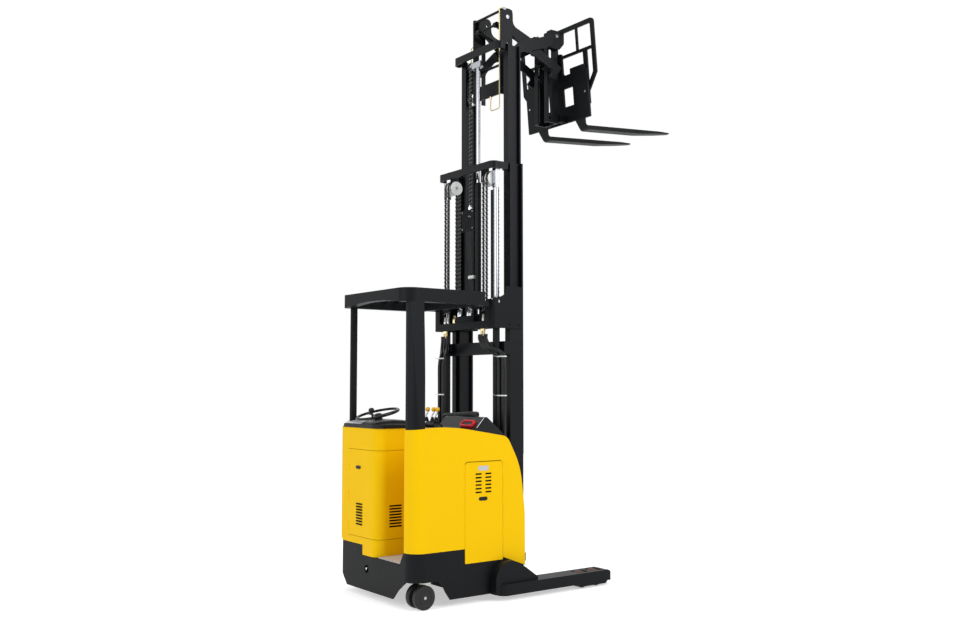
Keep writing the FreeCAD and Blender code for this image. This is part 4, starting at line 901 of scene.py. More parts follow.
@dataclass
class SteeringWheel(Assembly):
    """A small leaned wheel with a grip rim, three spokes, a hub and a spinner knob."""

    rim: float = 165.0
    grip: float = 10.4
    height: float = 1378.0
    lean: float = math.radians(13.5)
    hub: float = 30.0
    drop: float = 29.5
    dip: float = 12.0
    spokes: tuple[float, ...] = (90.0, 210.0, 330.0)
    knob_share: float = 0.67

    @cached_property
    def axes(self) -> Axes:
        """The wheel's own directions, at its CAD node's middle."""
        x, y, _ = self.box("steering_wheel").middle
        return Axes((x, y, self.height), (-math.sin(self.lean), 0, math.cos(self.lean)))

    def build(self) -> None:
        """Dress the rim, the spokes, the hub and the knob."""
        body = "steering wheel"
        self.add("steering_wheel_rim", [self._rim(), *self._spokes()], GRIP, body,
                 ["steering_wheel"])
        self.add("steering_wheel_hub", [self._hub()], BLACK_PLASTIC, body)
        self.add("spinner_knob", self._knob(), GRIP, body)

    def _rim(self) -> Patch:
        """A ring with finger waves: the section radius is g (1 + 0.035 cos 36 a).

        Returns:
            The ring.
        """
        around = np.arange(144)[:, None] * math.tau / 144
        across = np.arange(16)[None, :] * math.tau / 16
        section = self.grip * (1 + 0.035 * np.cos(36 * around))
        reach = self.rim + section * np.cos(across)
        return grid(surface(reach * np.cos(around), reach * np.sin(around),
                            section * np.sin(across)), wrap_rows=True).turned(self.axes)

    def _spokes(self) -> list[Patch]:
        """Flattened spokes that dip from the rim down to the hub: z = -dip (1 - t^2).

        Returns:
            The spokes, each narrowing outward as 13 - 5 t.
        """
        made, up = [], np.array(UP)
        t = np.linspace(0.12, 0.96, 20)[:, None]
        around = np.arange(16)[None, :, None] * math.tau / 16
        for angle in np.radians(self.spokes):
            way = np.array([math.cos(angle), math.sin(angle), 0.0])
            line = way * t * self.rim - up * self.dip * (1 - t ** 2)
            rings = (line[:, None] + (13 - 5 * t)[..., None] * np.cos(around) * np.cross(up, way)
                     + 4.2 * np.sin(around) * up)
            made.append(capped(rings, line).turned(self.axes))
        return made

    def _hub(self) -> Patch:
        """A turned boss with a shallow cap.

        Returns:
            The boss.
        """
        r, drop = self.hub, self.drop
        return lathe([(0, -drop), (r - 3, -drop), (r, -drop + 3), (r, -3), (r - 3, 0),
                      (r - 7, 1), (r - 8, -1), (r - 9, 2), (r * 0.5, 5), (0, 6)], self.axes, 48)

    def _knob(self) -> list[Patch]:
        """A stem and a rounded knob at the rear right of the rim.

        Returns:
            The stem and the knob.
        """
        away = -self.rim * self.knob_share
        base = Axes(self.axes.place((away, away, 0)), self.axes.axis)
        return [lathe([(0, 0), (10, 0), (8, 24), (9, 42), (0, 43)], base, 24),
                lathe([(0.0, 38.0), *bulb(22, 0.7, 60, 19, -70, 14)], base)]


@dataclass
class DeskControls(Assembly):
    """Lever knobs on bent stems, their hump and gaiters, and the red switch ring."""

    stem: float = 6.0
    knob: float = 18.6
    knob_half: float = 17.8
    gaiter_foot: float = 1316.0
    hump_rise: float = 47.0
    switch_spot: Triple = (591.0, -372.0, 1305.0)
    switch_axis: Triple = (-0.753, 0.0, 0.659)
    ring: Triple = (150.0, 46.0, 10.5)

    def build(self) -> None:
        """Make each control where its CAD node is."""
        box = self.box("lever_knobs")
        x, top = box.middle[0], box.high[2]
        rows = (box.high[1] - 19, -12.0, box.low[1] + 24)
        shape = [(0.0, 0.5), *bulb(self.knob, 0.65, self.knob_half, self.knob_half, -80, 16)]
        self.add("lever_knob_caps", [lathe(shape, Axes((x, y, top - 36)), 36) for y in rows],
                 KNOB, replaces=["lever_knobs"])
        stems = [tube(curve([(x, y, top - 30), (x, y, top - 42), (x - 13, y + 5, top - 66),
                             (x - 16, y + 5, top - 84), (x, y, top - 116)], 12), self.stem)
                 for y in rows]
        self.add("lever_stems", stems, CHROME)
        self.add("lever_gaiters", [self._gaiter(x - 10, y + 3) for y in rows], VINYL)
        self.add("lever_hump", [self._hump(self.box("control_levers"))], BLACK_PLASTIC,
                 replaces=["control_levers"])
        self._switch()

    def _gaiter(self, x: float, y: float) -> Patch:
        """A folded sleeve: radius 22 - 12 t + 2.2 cos 8 pi t up its height.

        Args:
            x, y: where its axis stands.

        Returns:
            The sleeve.
        """
        step = np.linspace(0, 1, 29)
        fold = 22 - 12 * step + 2.2 * np.cos(step * math.tau * 4)
        return lathe([(0, -1), *zip(fold, step * 36), (0, 37)], Axes((x, y, self.gaiter_foot)),
                     36)

    def _hump(self, box: Box) -> Patch:
        """A moulded dome: each ring is a squarish oval that shrinks as (1 - t^2.4)^(1/2.4).

        Args:
            box: the CAD node's box.

        Returns:
            The dome.
        """
        t = np.sin(np.linspace(0, math.pi / 2, 18))[:, None]
        angle = np.arange(64)[None, :] * math.tau / 64
        share = np.clip(1 - t ** 2.4, 0, 1) ** (1 / 2.4)
        x = box.middle[0] + box.size[0] / 2 * share * squared(np.cos(angle), 0.6)
        y = box.middle[1] + box.size[1] / 2 * share * squared(np.sin(angle), 0.45)
        return grid(surface(x, y, box.low[2] - 1 + self.hump_rise * t))

    def _switch(self) -> None:
        """A red loop lying on the ridge's slope, with a dark inset in its eye."""
        wide, high, thick = self.ring
        axes = Axes(self.switch_spot, self.switch_axis, LEFT)
        path = rounded(wide, high, high / 2, 14)
        line = axes.place(np.column_stack([path, np.full(len(path), 10.0)]))
        ring = tube(line, thick, self.switch_axis, 16, closed=True)
        plinth = prism(rounded(wide + 20, high + 20, 20), -2, 8, axes, 1.5)
        self.add("switch_loop", [ring, plinth], RED_PLASTIC, replaces=["emergency_switch"])
        self.add("switch_paddle", [prism(rounded(wide - 8, high - 8, 18), 6, 11, axes, 1)],
                 BLACK_PLASTIC)


@dataclass
class DashCover(Assembly):
    """The moulded dash under the wheel: a swept crown, and pale lines painted as highlights along
    its rear edge and the ridge.
    """

    left: float = 508.0
    right: float = 60.0
    edge: float = 1296.0
    crown: float = 37.0
    front: float = 446.0
    fall_start: float = 240.0
    fall: float = 215.0
    shroud: Triple = (140.0, 205.0, 1306.0)

    def build(self) -> None:
        """Lay the cover, its shroud, and the two painted highlight lines."""
        self.add("dash_cover", [self._cover()], BLACK_PLASTIC)
        shroud = lathe([(0, 0), (74, 0), (72, 10), (60, 26), (46, 33), (0, 34)],
                       Axes(self.shroud), 48)
        self.add("dash_shroud", [shroud], BLACK_PLASTIC)
        self.add("dash_painted_highlight", [self._highlight_strip()], PAINTED_HIGHLIGHT)
        # a pale line along the ridge's edge: painted highlight
        y = self.box("mast_cowl").low[1] - 0.3
        highlight_line = tube(straight((566, y, 1284), (634, y, 1357), 8), 2.2, steps=8)
        self.add("ridge_painted_highlight", [highlight_line], PAINTED_HIGHLIGHT)

    def _height(self, x: Array) -> Array:
        """Give the crown's height at a length: up from the rear edge, level, then down.

        Args:
            x: lengths.

        Returns:
            The heights.
        """
        rise = 1 - np.exp(-np.clip(x, 0, None) / 38)
        fall = np.clip((x - self.fall_start) / self.fall, 0, 1) ** 2
        return self.edge + 2 + self.crown * rise * (1 - fall)

    def _cover(self) -> Patch:
        """Rows of the crown's height across the dash, rounded down at both sides.

        Returns:
            The cover.
        """
        x = np.linspace(0.5, self.front, 60)[:, None]
        t = np.linspace(0, 1, 60)[None, :]
        side = np.clip(1 - np.abs(2 * t - 1) ** 10, 0, 1) ** 0.5
        return skin(surface(x, self.left + (self.right - self.left) * t,
                            self.edge + (self._height(x) - self.edge) * side), self.edge - 0.5)

    def _highlight_strip(self) -> Patch:
        """A thin pale skin just over the crown's rear slope, as a painted highlight.

        Returns:
            The strip.
        """
        x = np.linspace(6, 52, 14)[:, None]
        top = surface(x, np.linspace(494, 236, 30)[None, :], self._height(x) + 0.9)
        return skin(top, top[..., 2] - 2.5)


@dataclass
class Armrest(Assembly):
    """A padded wedge on a post, with a welt sewn round its top."""

    post: Triple = (730.0, -125.0, 1296.0)
    post_size: tuple[float, float] = (30.0, 70.0)
    post_overlap: float = 3.0
    under: float = 1352.0
    far_top: float = 1374.0

    @cached_property
    def room(self) -> Box:
        """The CAD node's box."""
        return self.box("armrest")

    def build(self) -> None:
        """Make the pad, its welt, its base tray and its post in the CAD node's box."""
        pad = self.add("armrest_pad", [self._pad()], VINYL, replaces=["armrest"])
        self.add("armrest_welt", [self._welt()], VINYL)
        tall = self.under - self.post[2] + self.post_overlap
        post = prism(rounded(*self.post_size, 9), 0, tall, Axes(self.post, side=AHEAD), 1)
        tray = prism(rounded(self.room.size[0] - 26, self.room.size[1] - 60, 14), 0, 5,
                     Axes((self.room.middle[0], self.room.middle[1], self.under - 5)), 1)
        self.add("armrest_post", [post, tray], BLACK_PLASTIC)

    def _sizes(self, t: Array) -> tuple[Array, Array]:
        """Give half width and thickness at each share t of the length.

        The half width pulls in near the ends as (1 - |2t-1|^9)^(1/3), and between the corners
        the sides draw in by 2 mm; the top falls from the right end to the left one.

        Args:
            t: shares of the length.

        Returns:
            The half widths and the thicknesses.
        """
        ends = np.clip(1 - np.abs(2 * t - 1) ** 9, 0, 1) ** (1 / 3)
        half = (self.room.size[0] / 2 - 2 * np.sin(t * math.pi)) * ends
        top = self.room.high[2] - (self.room.high[2] - self.far_top) * t
        return half, (top - self.under) * ends ** 0.6

    def _pad(self) -> Patch:
        """Carry a crowned squarish section along the length.

        Returns:
            The pad.
        """
        share = (1 - np.cos(np.linspace(0, math.pi, 72)[:, None])) / 2
        half, thick = self._sizes(share)
        angle = np.arange(56)[None, :] * math.tau / 56
        wide, tall = squared(np.cos(angle), 0.42), squared(np.sin(angle), 0.62)
        crease = 0.6 * np.exp(-((tall - 0.35) / 0.07) ** 2)
        x = self.room.middle[0] + half * wide - np.sign(wide) * crease * np.abs(wide) ** 4
        z = self.under + thick * (0.5 + 0.5 * np.where(tall < 0, np.maximum(tall, -0.97), tall))
        return grid(surface(x, self.room.low[1] + self.room.size[1] * share, z))

    def _welt(self) -> Patch:
        """A thin cord round the pad, two thirds up its side.

        Returns:
            The cord.
        """
        share = (1 - np.cos(np.linspace(0.14, math.pi - 0.14, 60))) / 2
        half, thick = self._sizes(share)
        y, z = self.room.low[1] + self.room.size[1] * share, self.under + thick * 0.69
        one, two = (surface(self.room.middle[0] + half * way, y, z) for way in (0.965, -0.965))
        return tube(np.concatenate([one, two[::-1]]), 1.6, UP, 8, closed=True)


# ------------------------------------------------------------------ doors and panels

@dataclass
class DoorTrim(Assembly):
    """Latches, a blank plate, and painted shade: dark slips on the louvres and dark backings
    behind them.
    """

    face: float = 527.6
    rear_face: float = -3.6
    latch: tuple[float, float] = (616.0, 757.0)
    plate: tuple[float, float] = (619.0, 983.0)
    vents: tuple[float, float] = (619.0, 874.0)
    vent_rows: int = 6
    rear_latch: tuple[float, float] = (262.0, 968.0)
    rear_vents: tuple[float, float] = (245.0, 611.0)
    rear_rows: int = 8
    rear_lowest: float = 534.5
    mouth: float = 12.0

    def build(self) -> None:
        """Dress both battery doors and the rear door."""
        for side, word in ((-1.0, "right"), (1.0, "left")):
            body, out, y = f"{word} battery door", (0, side, 0), side * self.face
            axes = Axes((self.latch[0], y, self.latch[1]), out, AHEAD)
            self.add(f"{word}_door_latch", self._latch(axes, 80, 28), BLACK_PLASTIC, body)
            # dark slips on the louvres and a dark sheet behind them: painted shade
            shade_slips = [self._louvre_shade(Axes((x + 25, y, 806 + 27 * row), out, AHEAD), 56)
                      for x in (549, 640) for row in range(self.vent_rows)]
            self.add(f"{word}_door_louvres", shade_slips, PAINTED_SHADE, body)
            back = Axes((self.vents[0], y - 7.5 * side, self.vents[1]), out, AHEAD)
            self.add(f"{word}_door_backing", [prism(rounded(146, 146, 5), 0, 1.5, back)],
                     PAINTED_SHADE, body)
        axes = Axes((self.plate[0], -self.face, self.plate[1]), (0, -1, 0), AHEAD)
        self.add("right_door_plate", self._plate(axes, 94, 36), PLATE, "right battery door")
        self._rear()

    @staticmethod
    def _latch(axes: Axes, wide: float, high: float) -> list[Patch]:
        """An oval ring, a flat paddle and a lock.

        Args:
            axes: its middle on the panel and the way it faces.
            wide, high: its size.

        Returns:
            The three pieces.
        """
        r = high / 2
        eye = Axes(axes.place((wide * 0.36, 0, 0)), axes.axis, axes.side)
        return [prism(rounded(wide, high, r, 12), -0.5, 3.0, axes, 1.2),
                prism(rounded(wide * 0.52, high * 0.6, 6), 2.9, 4.2, axes, 0.8),
                lathe([(0, 2.9), (r * 0.5, 2.9), (r * 0.46, 4.1), (r * 0.2, 4.2), (0, 3.2)],
                      eye, 24)]

    def _louvre_shade(self, axes: Axes, wide: float) -> Patch:
        """Painted shade in one louvre: a dark rounded slip just proud of the panel."""
        return prism(rounded(wide, self.mouth, 4), -0.5, 0.5, axes, 0.1)

    @staticmethod
    def _plate(axes: Axes, wide: float, high: float) -> list[Patch]:
        """A thin bare plate held by four small rivets.

        Args:
            axes: its middle on the panel and the way it faces.
            wide, high: its size.

        Returns:
            The plate and its rivets.
        """
        spots = [(a * (wide / 2 - 4.5), b * (high / 2 - 4.5), 0.8)
                 for a in (-1, 1) for b in (-1, 1)]
        return [prism(rounded(wide, high, 4), -0.4, 0.9, axes, 0.3),
                *(lathe([(0, -0.5), (2, -0.5), (1.6, 0.7), (0, 1.1)], Axes(spot, axes.axis), 12)
                  for spot in axes.place(spots))]

    def _rear(self) -> None:
        """The rear door's latch, and painted shade on and behind its louvres."""
        body, (y, z) = "rear door", self.rear_vents
        axes = Axes((self.rear_face, *self.rear_latch), BEHIND, LEFT)
        self.add("rear_door_latch", self._latch(axes, 70, 26), BLACK_PLASTIC, body)
        # dark slips on the rear louvres and a dark sheet behind them: painted shade
        rows = [self.rear_lowest + 22 * row for row in range(self.rear_rows)]
        shade_slips = [self._louvre_shade(Axes((self.rear_face, y, row), BEHIND, LEFT), 94) for row in rows]
        shade_slips += [self._louvre_shade(Axes((163.5, -20.1, row), (0, -1, 0), AHEAD), 110)
                   for row in rows]
        self.add("rear_door_louvres", shade_slips, PAINTED_SHADE, body)
        self.add("rear_door_backing", [prism(rounded(96, 172, 5), 0, 1.5,
                                             Axes((3.5, y, z), AHEAD, LEFT))], PAINTED_SHADE, body)


# ------------------------------------------------------------------ hoses and fittings

class Flow(Enum):
    """Which way a fitting stands on the mast's bar."""

    UP = 1
    DOWN = -1


@dataclass
class MastHoses(Assembly):
    """Spiral-wrapped hoses from the bar, over the pulleys and down to the inner stage."""

    thick: float = 8.6
    pitch: float = 34.0
    rise: float = 3.6
    bar_top: float = 2188.0
    inner_low: float = 2300.0
    lanes: tuple[float, ...] = (245.0, 288.0)
    cap_faces: tuple[float, ...] = (211.5, -306.5)
    pipes: tuple[float, ...] = (-222.0, -199.0)
    pipe_x: float = 946.0
    coil_foot: float = 3070.0
    coil_lane: float = 96.0

    def build(self) -> None:
        """Run two hoses on each side, and the coiled one beside the free lift cylinder."""
        box, stage = self.box("hose_pulleys"), "middle stage"
        x, _, z = box.middle
        reach = box.size[0] / 2
        runs = (("rising", "chassis", x - reach, self.bar_top,
                 Stretch(stage, (x, 0, self.bar_top + 20), (x, 0, z - 40))),
                ("falling", stage, x + reach, self.inner_low,
                 Stretch("inner stage", (x, 0, z - 40), (x, 0, self.inner_low + 20))))
        for side, word in ((1, "left"), (-1, "right")):
            lanes = [lane * side for lane in self.lanes]
            over = [tube(bend((x, y, z), reach, 180, 0, AHEAD, count=61), self.thick)
                    for y in lanes]
            self.add(f"{word}_pulley_hoses", over, HOSE, stage)
            for name, body, at, foot, stretch in runs:
                self.add(f"{word}_{name}_hoses",
                         [self._hose((at, y, foot), (at, y, z)) for y in lanes], HOSE, body,
                         stretch=stretch)
                self.add(f"{word}_{name}_guards",
                         [self._guard((at, y, foot), (at, y, z), self.thick + 1.2)
                          for y in lanes], WRAP, body, stretch=stretch)
        self._caps(x, z)
        pipes = [tube(curve([(self.pipe_x, y, level) for level in
                             (z - 70, 2900, 2600, self.inner_low - 60)], 10), 8.0)
                 for y in self.pipes]
        self.add("stage_pipes", pipes, HOSE, stage)
        self._coiled()

    def _caps(self, x: float, z: float) -> None:
        """A dished disc on each pulley, facing the right side, and the nut in its middle.

        Args:
            x, z: the pulleys' axis.
        """
        faces = [Axes((x, face, z), (0, -1, 0)) for face in self.cap_faces]
        dish = [(0, 0.4), (57, 0.4), (58, 2), (57, 7), (54, 8), (30, 6.5), (26, 8.5), (18, 8.5),
                (16, 4), (0, 4)]
        self.add("pulley_caps", [lathe(dish, axes, 56) for axes in faces], WHITE_NYLON,
                 "middle stage")
        self.add("pulley_nuts", [prism(hexagon(22), 3, 12, axes, 1) for axes in faces], ZINC,
                 "middle stage")

    def _hose(self, start: Triple, end: Triple) -> Patch:
        """One straight run of hose, with rings close enough to stretch evenly."""
        return tube(straight(start, end, 24), self.thick, AHEAD)

    def _guard(self, start: Triple, end: Triple, radius: float) -> Patch:
        """A rod wound round an upright run: x + r cos a, y + r sin a, a = 2 pi height / pitch.

        Args:
            start, end: the run's ends.
            radius: how far the rod is from the run's middle.

        Returns:
            The rod.
        """
        line = straight(start, end, self.pitch / 16)
        angle = line[:, 2] * math.tau / self.pitch
        line[:, 0] += radius * np.cos(angle)
        line[:, 1] += radius * np.sin(angle)
        return tube(line, self.rise, UP, 6)

    def _coiled(self) -> None:
        """A wrapped hose between the inner stage and the free lift head."""
        box = self.box("free_lift_rod")
        x, y, top, body = box.middle[0] - 8, self.coil_lane, box.high[2] - 24, "free lift rod"
        run = ((x, y, self.coil_foot), (x, y, top))
        stretch = Stretch(body, (x, 0, self.coil_foot + 20), (x, 0, top - 60))
        self.add("free_lift_hose", [self._hose(*run)], HOSE, "inner stage", stretch=stretch)
        self.add("free_lift_guard", [self._guard(*run, self.thick + 3)], WRAP, "inner stage",
                 stretch=stretch)
        hook = curve([(x, y, top - 4), (x, y - 2, top + 12), (x, y - 22, top + 17),
                      (x, y - 44, top + 6)])
        self.add("free_lift_elbow", [tube(hook, 8.0, AHEAD)], CHROME, body)


@dataclass
class Bundles(Assembly):
    """The hoses below the bar: three hoses a side, and white ties round them."""

    thick: float = 16.5
    foot: float = 402.0
    groups: tuple[tuple[float, float], ...] = ((251.0, 396.0), (-271.0, -430.0))
    tie_heights: tuple[float, ...] = (1825.0, 1522.0)
    spread: float = 31.0
    back: float = 868.0

    def build(self) -> None:
        """Run three hoses from each group of fittings down between body and mast."""
        box = self.box("hose_fittings")
        x, top = box.middle[0], box.low[2]
        hoses, ties = [], []
        for start, out in self.groups:
            sign = math.copysign(1, start)
            for shift in (-self.spread, 0.0, self.spread):
                back = self.back if shift else self.back + 13
                y0, y1 = start + shift * 1.2, out + shift
                knots = [(x, y0, top + 30), (x, y0, top - 10), (x + 18, y0 + 36 * sign, top - 70),
                         (back, y1 - 26 * sign, top - 122), (back, y1, top - 210),
                         *((back, y1, z) for z in (1560, 1200, 800, self.foot))]
                hoses.append(tube(curve(knots, 14), self.thick, AHEAD))
            for z in self.tie_heights:
                ties += self._tie(out, z)
        self.add("lower_hoses", hoses, HOSE)
        self.add("hose_straps", ties, WHITE_NYLON)

    def _tie(self, y: float, z: float) -> list[Patch]:
        """A tie round three hoses, and its loose tail.

        Args:
            y: the middle hose.
            z: the tie's height.

        Returns:
            The tie and the tail.
        """
        ring = np.arange(40) * math.tau / 40
        line = surface(self.back + 20 * np.cos(ring), y + 50 * np.sin(ring), z)
        tail = [(self.back - 18, y + 36, z), (self.back - 26, y + 48, z + 2),
                (self.back - 32, y + 62, z + 6)]
        return [tube(line, 5.5, UP, 10, closed=True), tube(curve(tail, 6), 1.6, UP, 8)]


@dataclass
class Couplings(Assembly):
    """Brass and plated hose ends above and below the bar, and the valve block on it."""

    height: float = 56.0
    across: float = 24.0
    lower: tuple[float, ...] = (239.0, 263.0, -283.0, -259.0)
    upper: tuple[float, ...] = (245.0, 288.0, -245.0, -288.0)
    upper_x: float = 829.0
    block: tuple[float, float] = (852.0, 12.0)
    plug: tuple[float, float] = (838.0, 168.0)
    valves: tuple[tuple[float, float], ...] = ((124, 92), (100, 66), (-8, 84), (-40, 60))

    def build(self) -> None:
        """Stand the couplings where the hoses start, and the block between them."""
        box = self.box("hose_fittings")
        brass = [patch for y in self.lower
                 for patch in self._end((box.middle[0], y, box.high[2] - 2), Flow.DOWN)]
        self.add("lower_couplings", brass, BRASS, replaces=["hose_fittings"])
        bar = self.box("mast_bracket").low[2] + 62
        upper = [patch for y in self.upper
                 for patch in self._end((self.upper_x, y, bar), Flow.UP)]
        self.add("upper_couplings", upper, ZINC)
        block = prism(rounded(52, 250, 4), 0, 54, Axes((*self.block, bar - 2), side=AHEAD), 2)
        self.add("valve_block", [block], FRAME_PAINT)
        tops = []
        for y, tall in self.valves:
            axes = Axes((self.block[0], y, bar + 50))
            tops += [prism(hexagon(26), 0, tall * 0.4, axes, 1.2),
                     lathe(scaled([(0, 0.4), (9, 0.4), (9, 0.7), (12, 0.72), (12, 0.94), (10, 1),
                                   (0, 1)], 1, tall), axes, 24)]
        self.add("valve_couplings", tops, CHROME)
        axes = Axes((*self.plug, bar))
        plug = lathe([(0, 30), (11, 30), (11, 58), (8, 62), (0, 62)], axes, 24)
        self.add("valve_plug", [prism(hexagon(30), 0, 30, axes, 1.5), plug], BRASS)

    def _end(self, spot: Triple, flow: Flow) -> list[Patch]:
        """A hexagon nut, a collar and a crimped sleeve with three rings.

        Args:
            spot: where it stands.
            flow: which way it stands.

        Returns:
            The nut, and the collar and sleeve in one.
        """
        axes = Axes(spot, (0, 0, float(flow.value)))
        rings = [(0, 0.33), (0.72, 0.33), (0.72, 0.4), (0.94, 0.42), (0.94, 0.56), (0.8, 0.58),
                 (0.8, 0.62), (0.94, 0.64), (0.94, 0.8), (0.8, 0.82), (0.8, 0.86),
                 (0.94, 0.88), (0.9, 1), (0, 1)]
        return [prism(hexagon(self.across), 0, self.height * 0.34, axes, 1.2),
                lathe(scaled(rings, self.across / 2, self.height), axes, 24)]


@dataclass
class StageLines(Assembly):
    """Lines on the inner stage: a junction plate, thin hoses and their clip."""

    x: float = 934.0
    plate: tuple[float, float, float, float] = (30.0, 205.0, 2878.0, 3062.0)
    elbow: float = 96.0
    lanes: tuple[float, ...] = (118.0, 86.0)
    clip: tuple[float, float] = (66.0, 2478.0)

    def build(self) -> None:
        """Bolt the plate beside the cylinder and hang two hoses from it."""
        (low, high, foot, top), x, body = self.plate, self.x, "inner stage"
        axes = Axes((x + 8, (low + high) / 2, (foot + top) / 2), BEHIND, UP)
        plate = prism(rounded(top - foot, high - low, 10), 0, 8, axes, 1.2)
        self.add("junction_plate", [plate], FRAME_PAINT, body)
        spots = [(x, y, z) for y in (low + 16, high - 16) for z in (foot + 22, top - 22)]
        spots += [(x, y, top - 62) for y in (self.elbow, self.elbow - 20)]
        heads = [patch for spot in spots for patch in socket_cap(spot, BEHIND, 6.5)]
        axes = Axes((x + 10, self.elbow, top - 6))
        heads += [prism(hexagon(28), 0, 26, axes, 1.2),
                  lathe([(0, 25), (10, 25), (10, 40), (0, 41)], axes, 24)]
        self.add("junction_screws", heads, CHROME, body)
        lines = [tube(curve([(x, y, foot + 10), (x - 2, y - 4, foot - 80), (x + 2, y - 26, 2640),
                             (x + 2, y - 34, 2480), (x + 4, y - 44, 2330)], 16), 6.0, AHEAD, 10)
                 for y in self.lanes]
        self.add("junction_hoses", lines, HOSE, body)
        band = prism(rounded(26, 74, 8), 0, 26, Axes((x + 3, *self.clip), side=AHEAD), 2)
        self.add("junction_clip", [band], WHITE_NYLON, body)


@dataclass
class ReachLines(Assembly):
    """Bent brass lines behind the reach frame, with a nut at each upper end."""

    thick: float = 4.6
    x: float = 1027.0
    left: float = 195.0
    right: float = -199.0
    left_top: float = 4486.0
    turn: float = 16.0
    corner: float = 20.0
    dip: float = 3870.0

    def build(self) -> None:
        """Bend both lines and put their nuts on."""
        x, right = self.x, self.right
        top = self.box("reach_frame").high[2] - 8
        bottom = self.dip + self.corner
        down = [*self._over(40, right, top), straight((x, right, top - 22), (x, right, 3900), 20),
                bend((x, right + 20, bottom), self.corner, 180, 270, LEFT),
                straight((x, right + 24, self.dip), (x, right + 96, self.dip), 12),
                bend((x, right + 100, bottom), self.corner, 270, 360, LEFT),
                straight((x, right + 120, 3894), (x, right + 120, 3972), 12)]
        other = [*self._over(44, self.left, self.left_top),
                 straight((x, self.left, self.left_top - 20), (x, self.left, 3930), 20)]
        lines = [tube(np.concatenate(down), self.thick, (0.3, 0.2, 0.1), 10),
                 tube(np.concatenate(other), self.thick, (0.2, 0.9, 0.1), 10),
                 lathe([(0, -10), (6, -8), (9, 0), (6, 8), (0, 10)],
                       Axes((x, self.left, 3924)), 20),
                 prism(hexagon(15), 0, 26, Axes((x, right + 120, 3966)), 0.8)]
        self.add("reach_lines", lines, BRASS, "reach frame")
        nuts = [prism(hexagon(20), -14, 12, Axes((x + 50, y, z), AHEAD), 1)
                for y, z in ((self.left, self.left_top), (right, top))]
        self.add("reach_line_nuts", nuts, CHROME, "reach frame")

    def _over(self, out: float, y: float, z: float) -> list[Array]:
        """A line's level end and its bend down.

        Args:
            out: how far forward it starts.
            y, z: its side and its height.

        Returns:
            The points of both stretches.
        """
        x, turn = self.x, self.turn
        return [straight((x + out, y, z), (x + turn, y, z), 6),
                bend((x + turn, y, z - turn), turn, 90, 180, AHEAD)]


# ------------------------------------------------------------------ fasteners and hubs

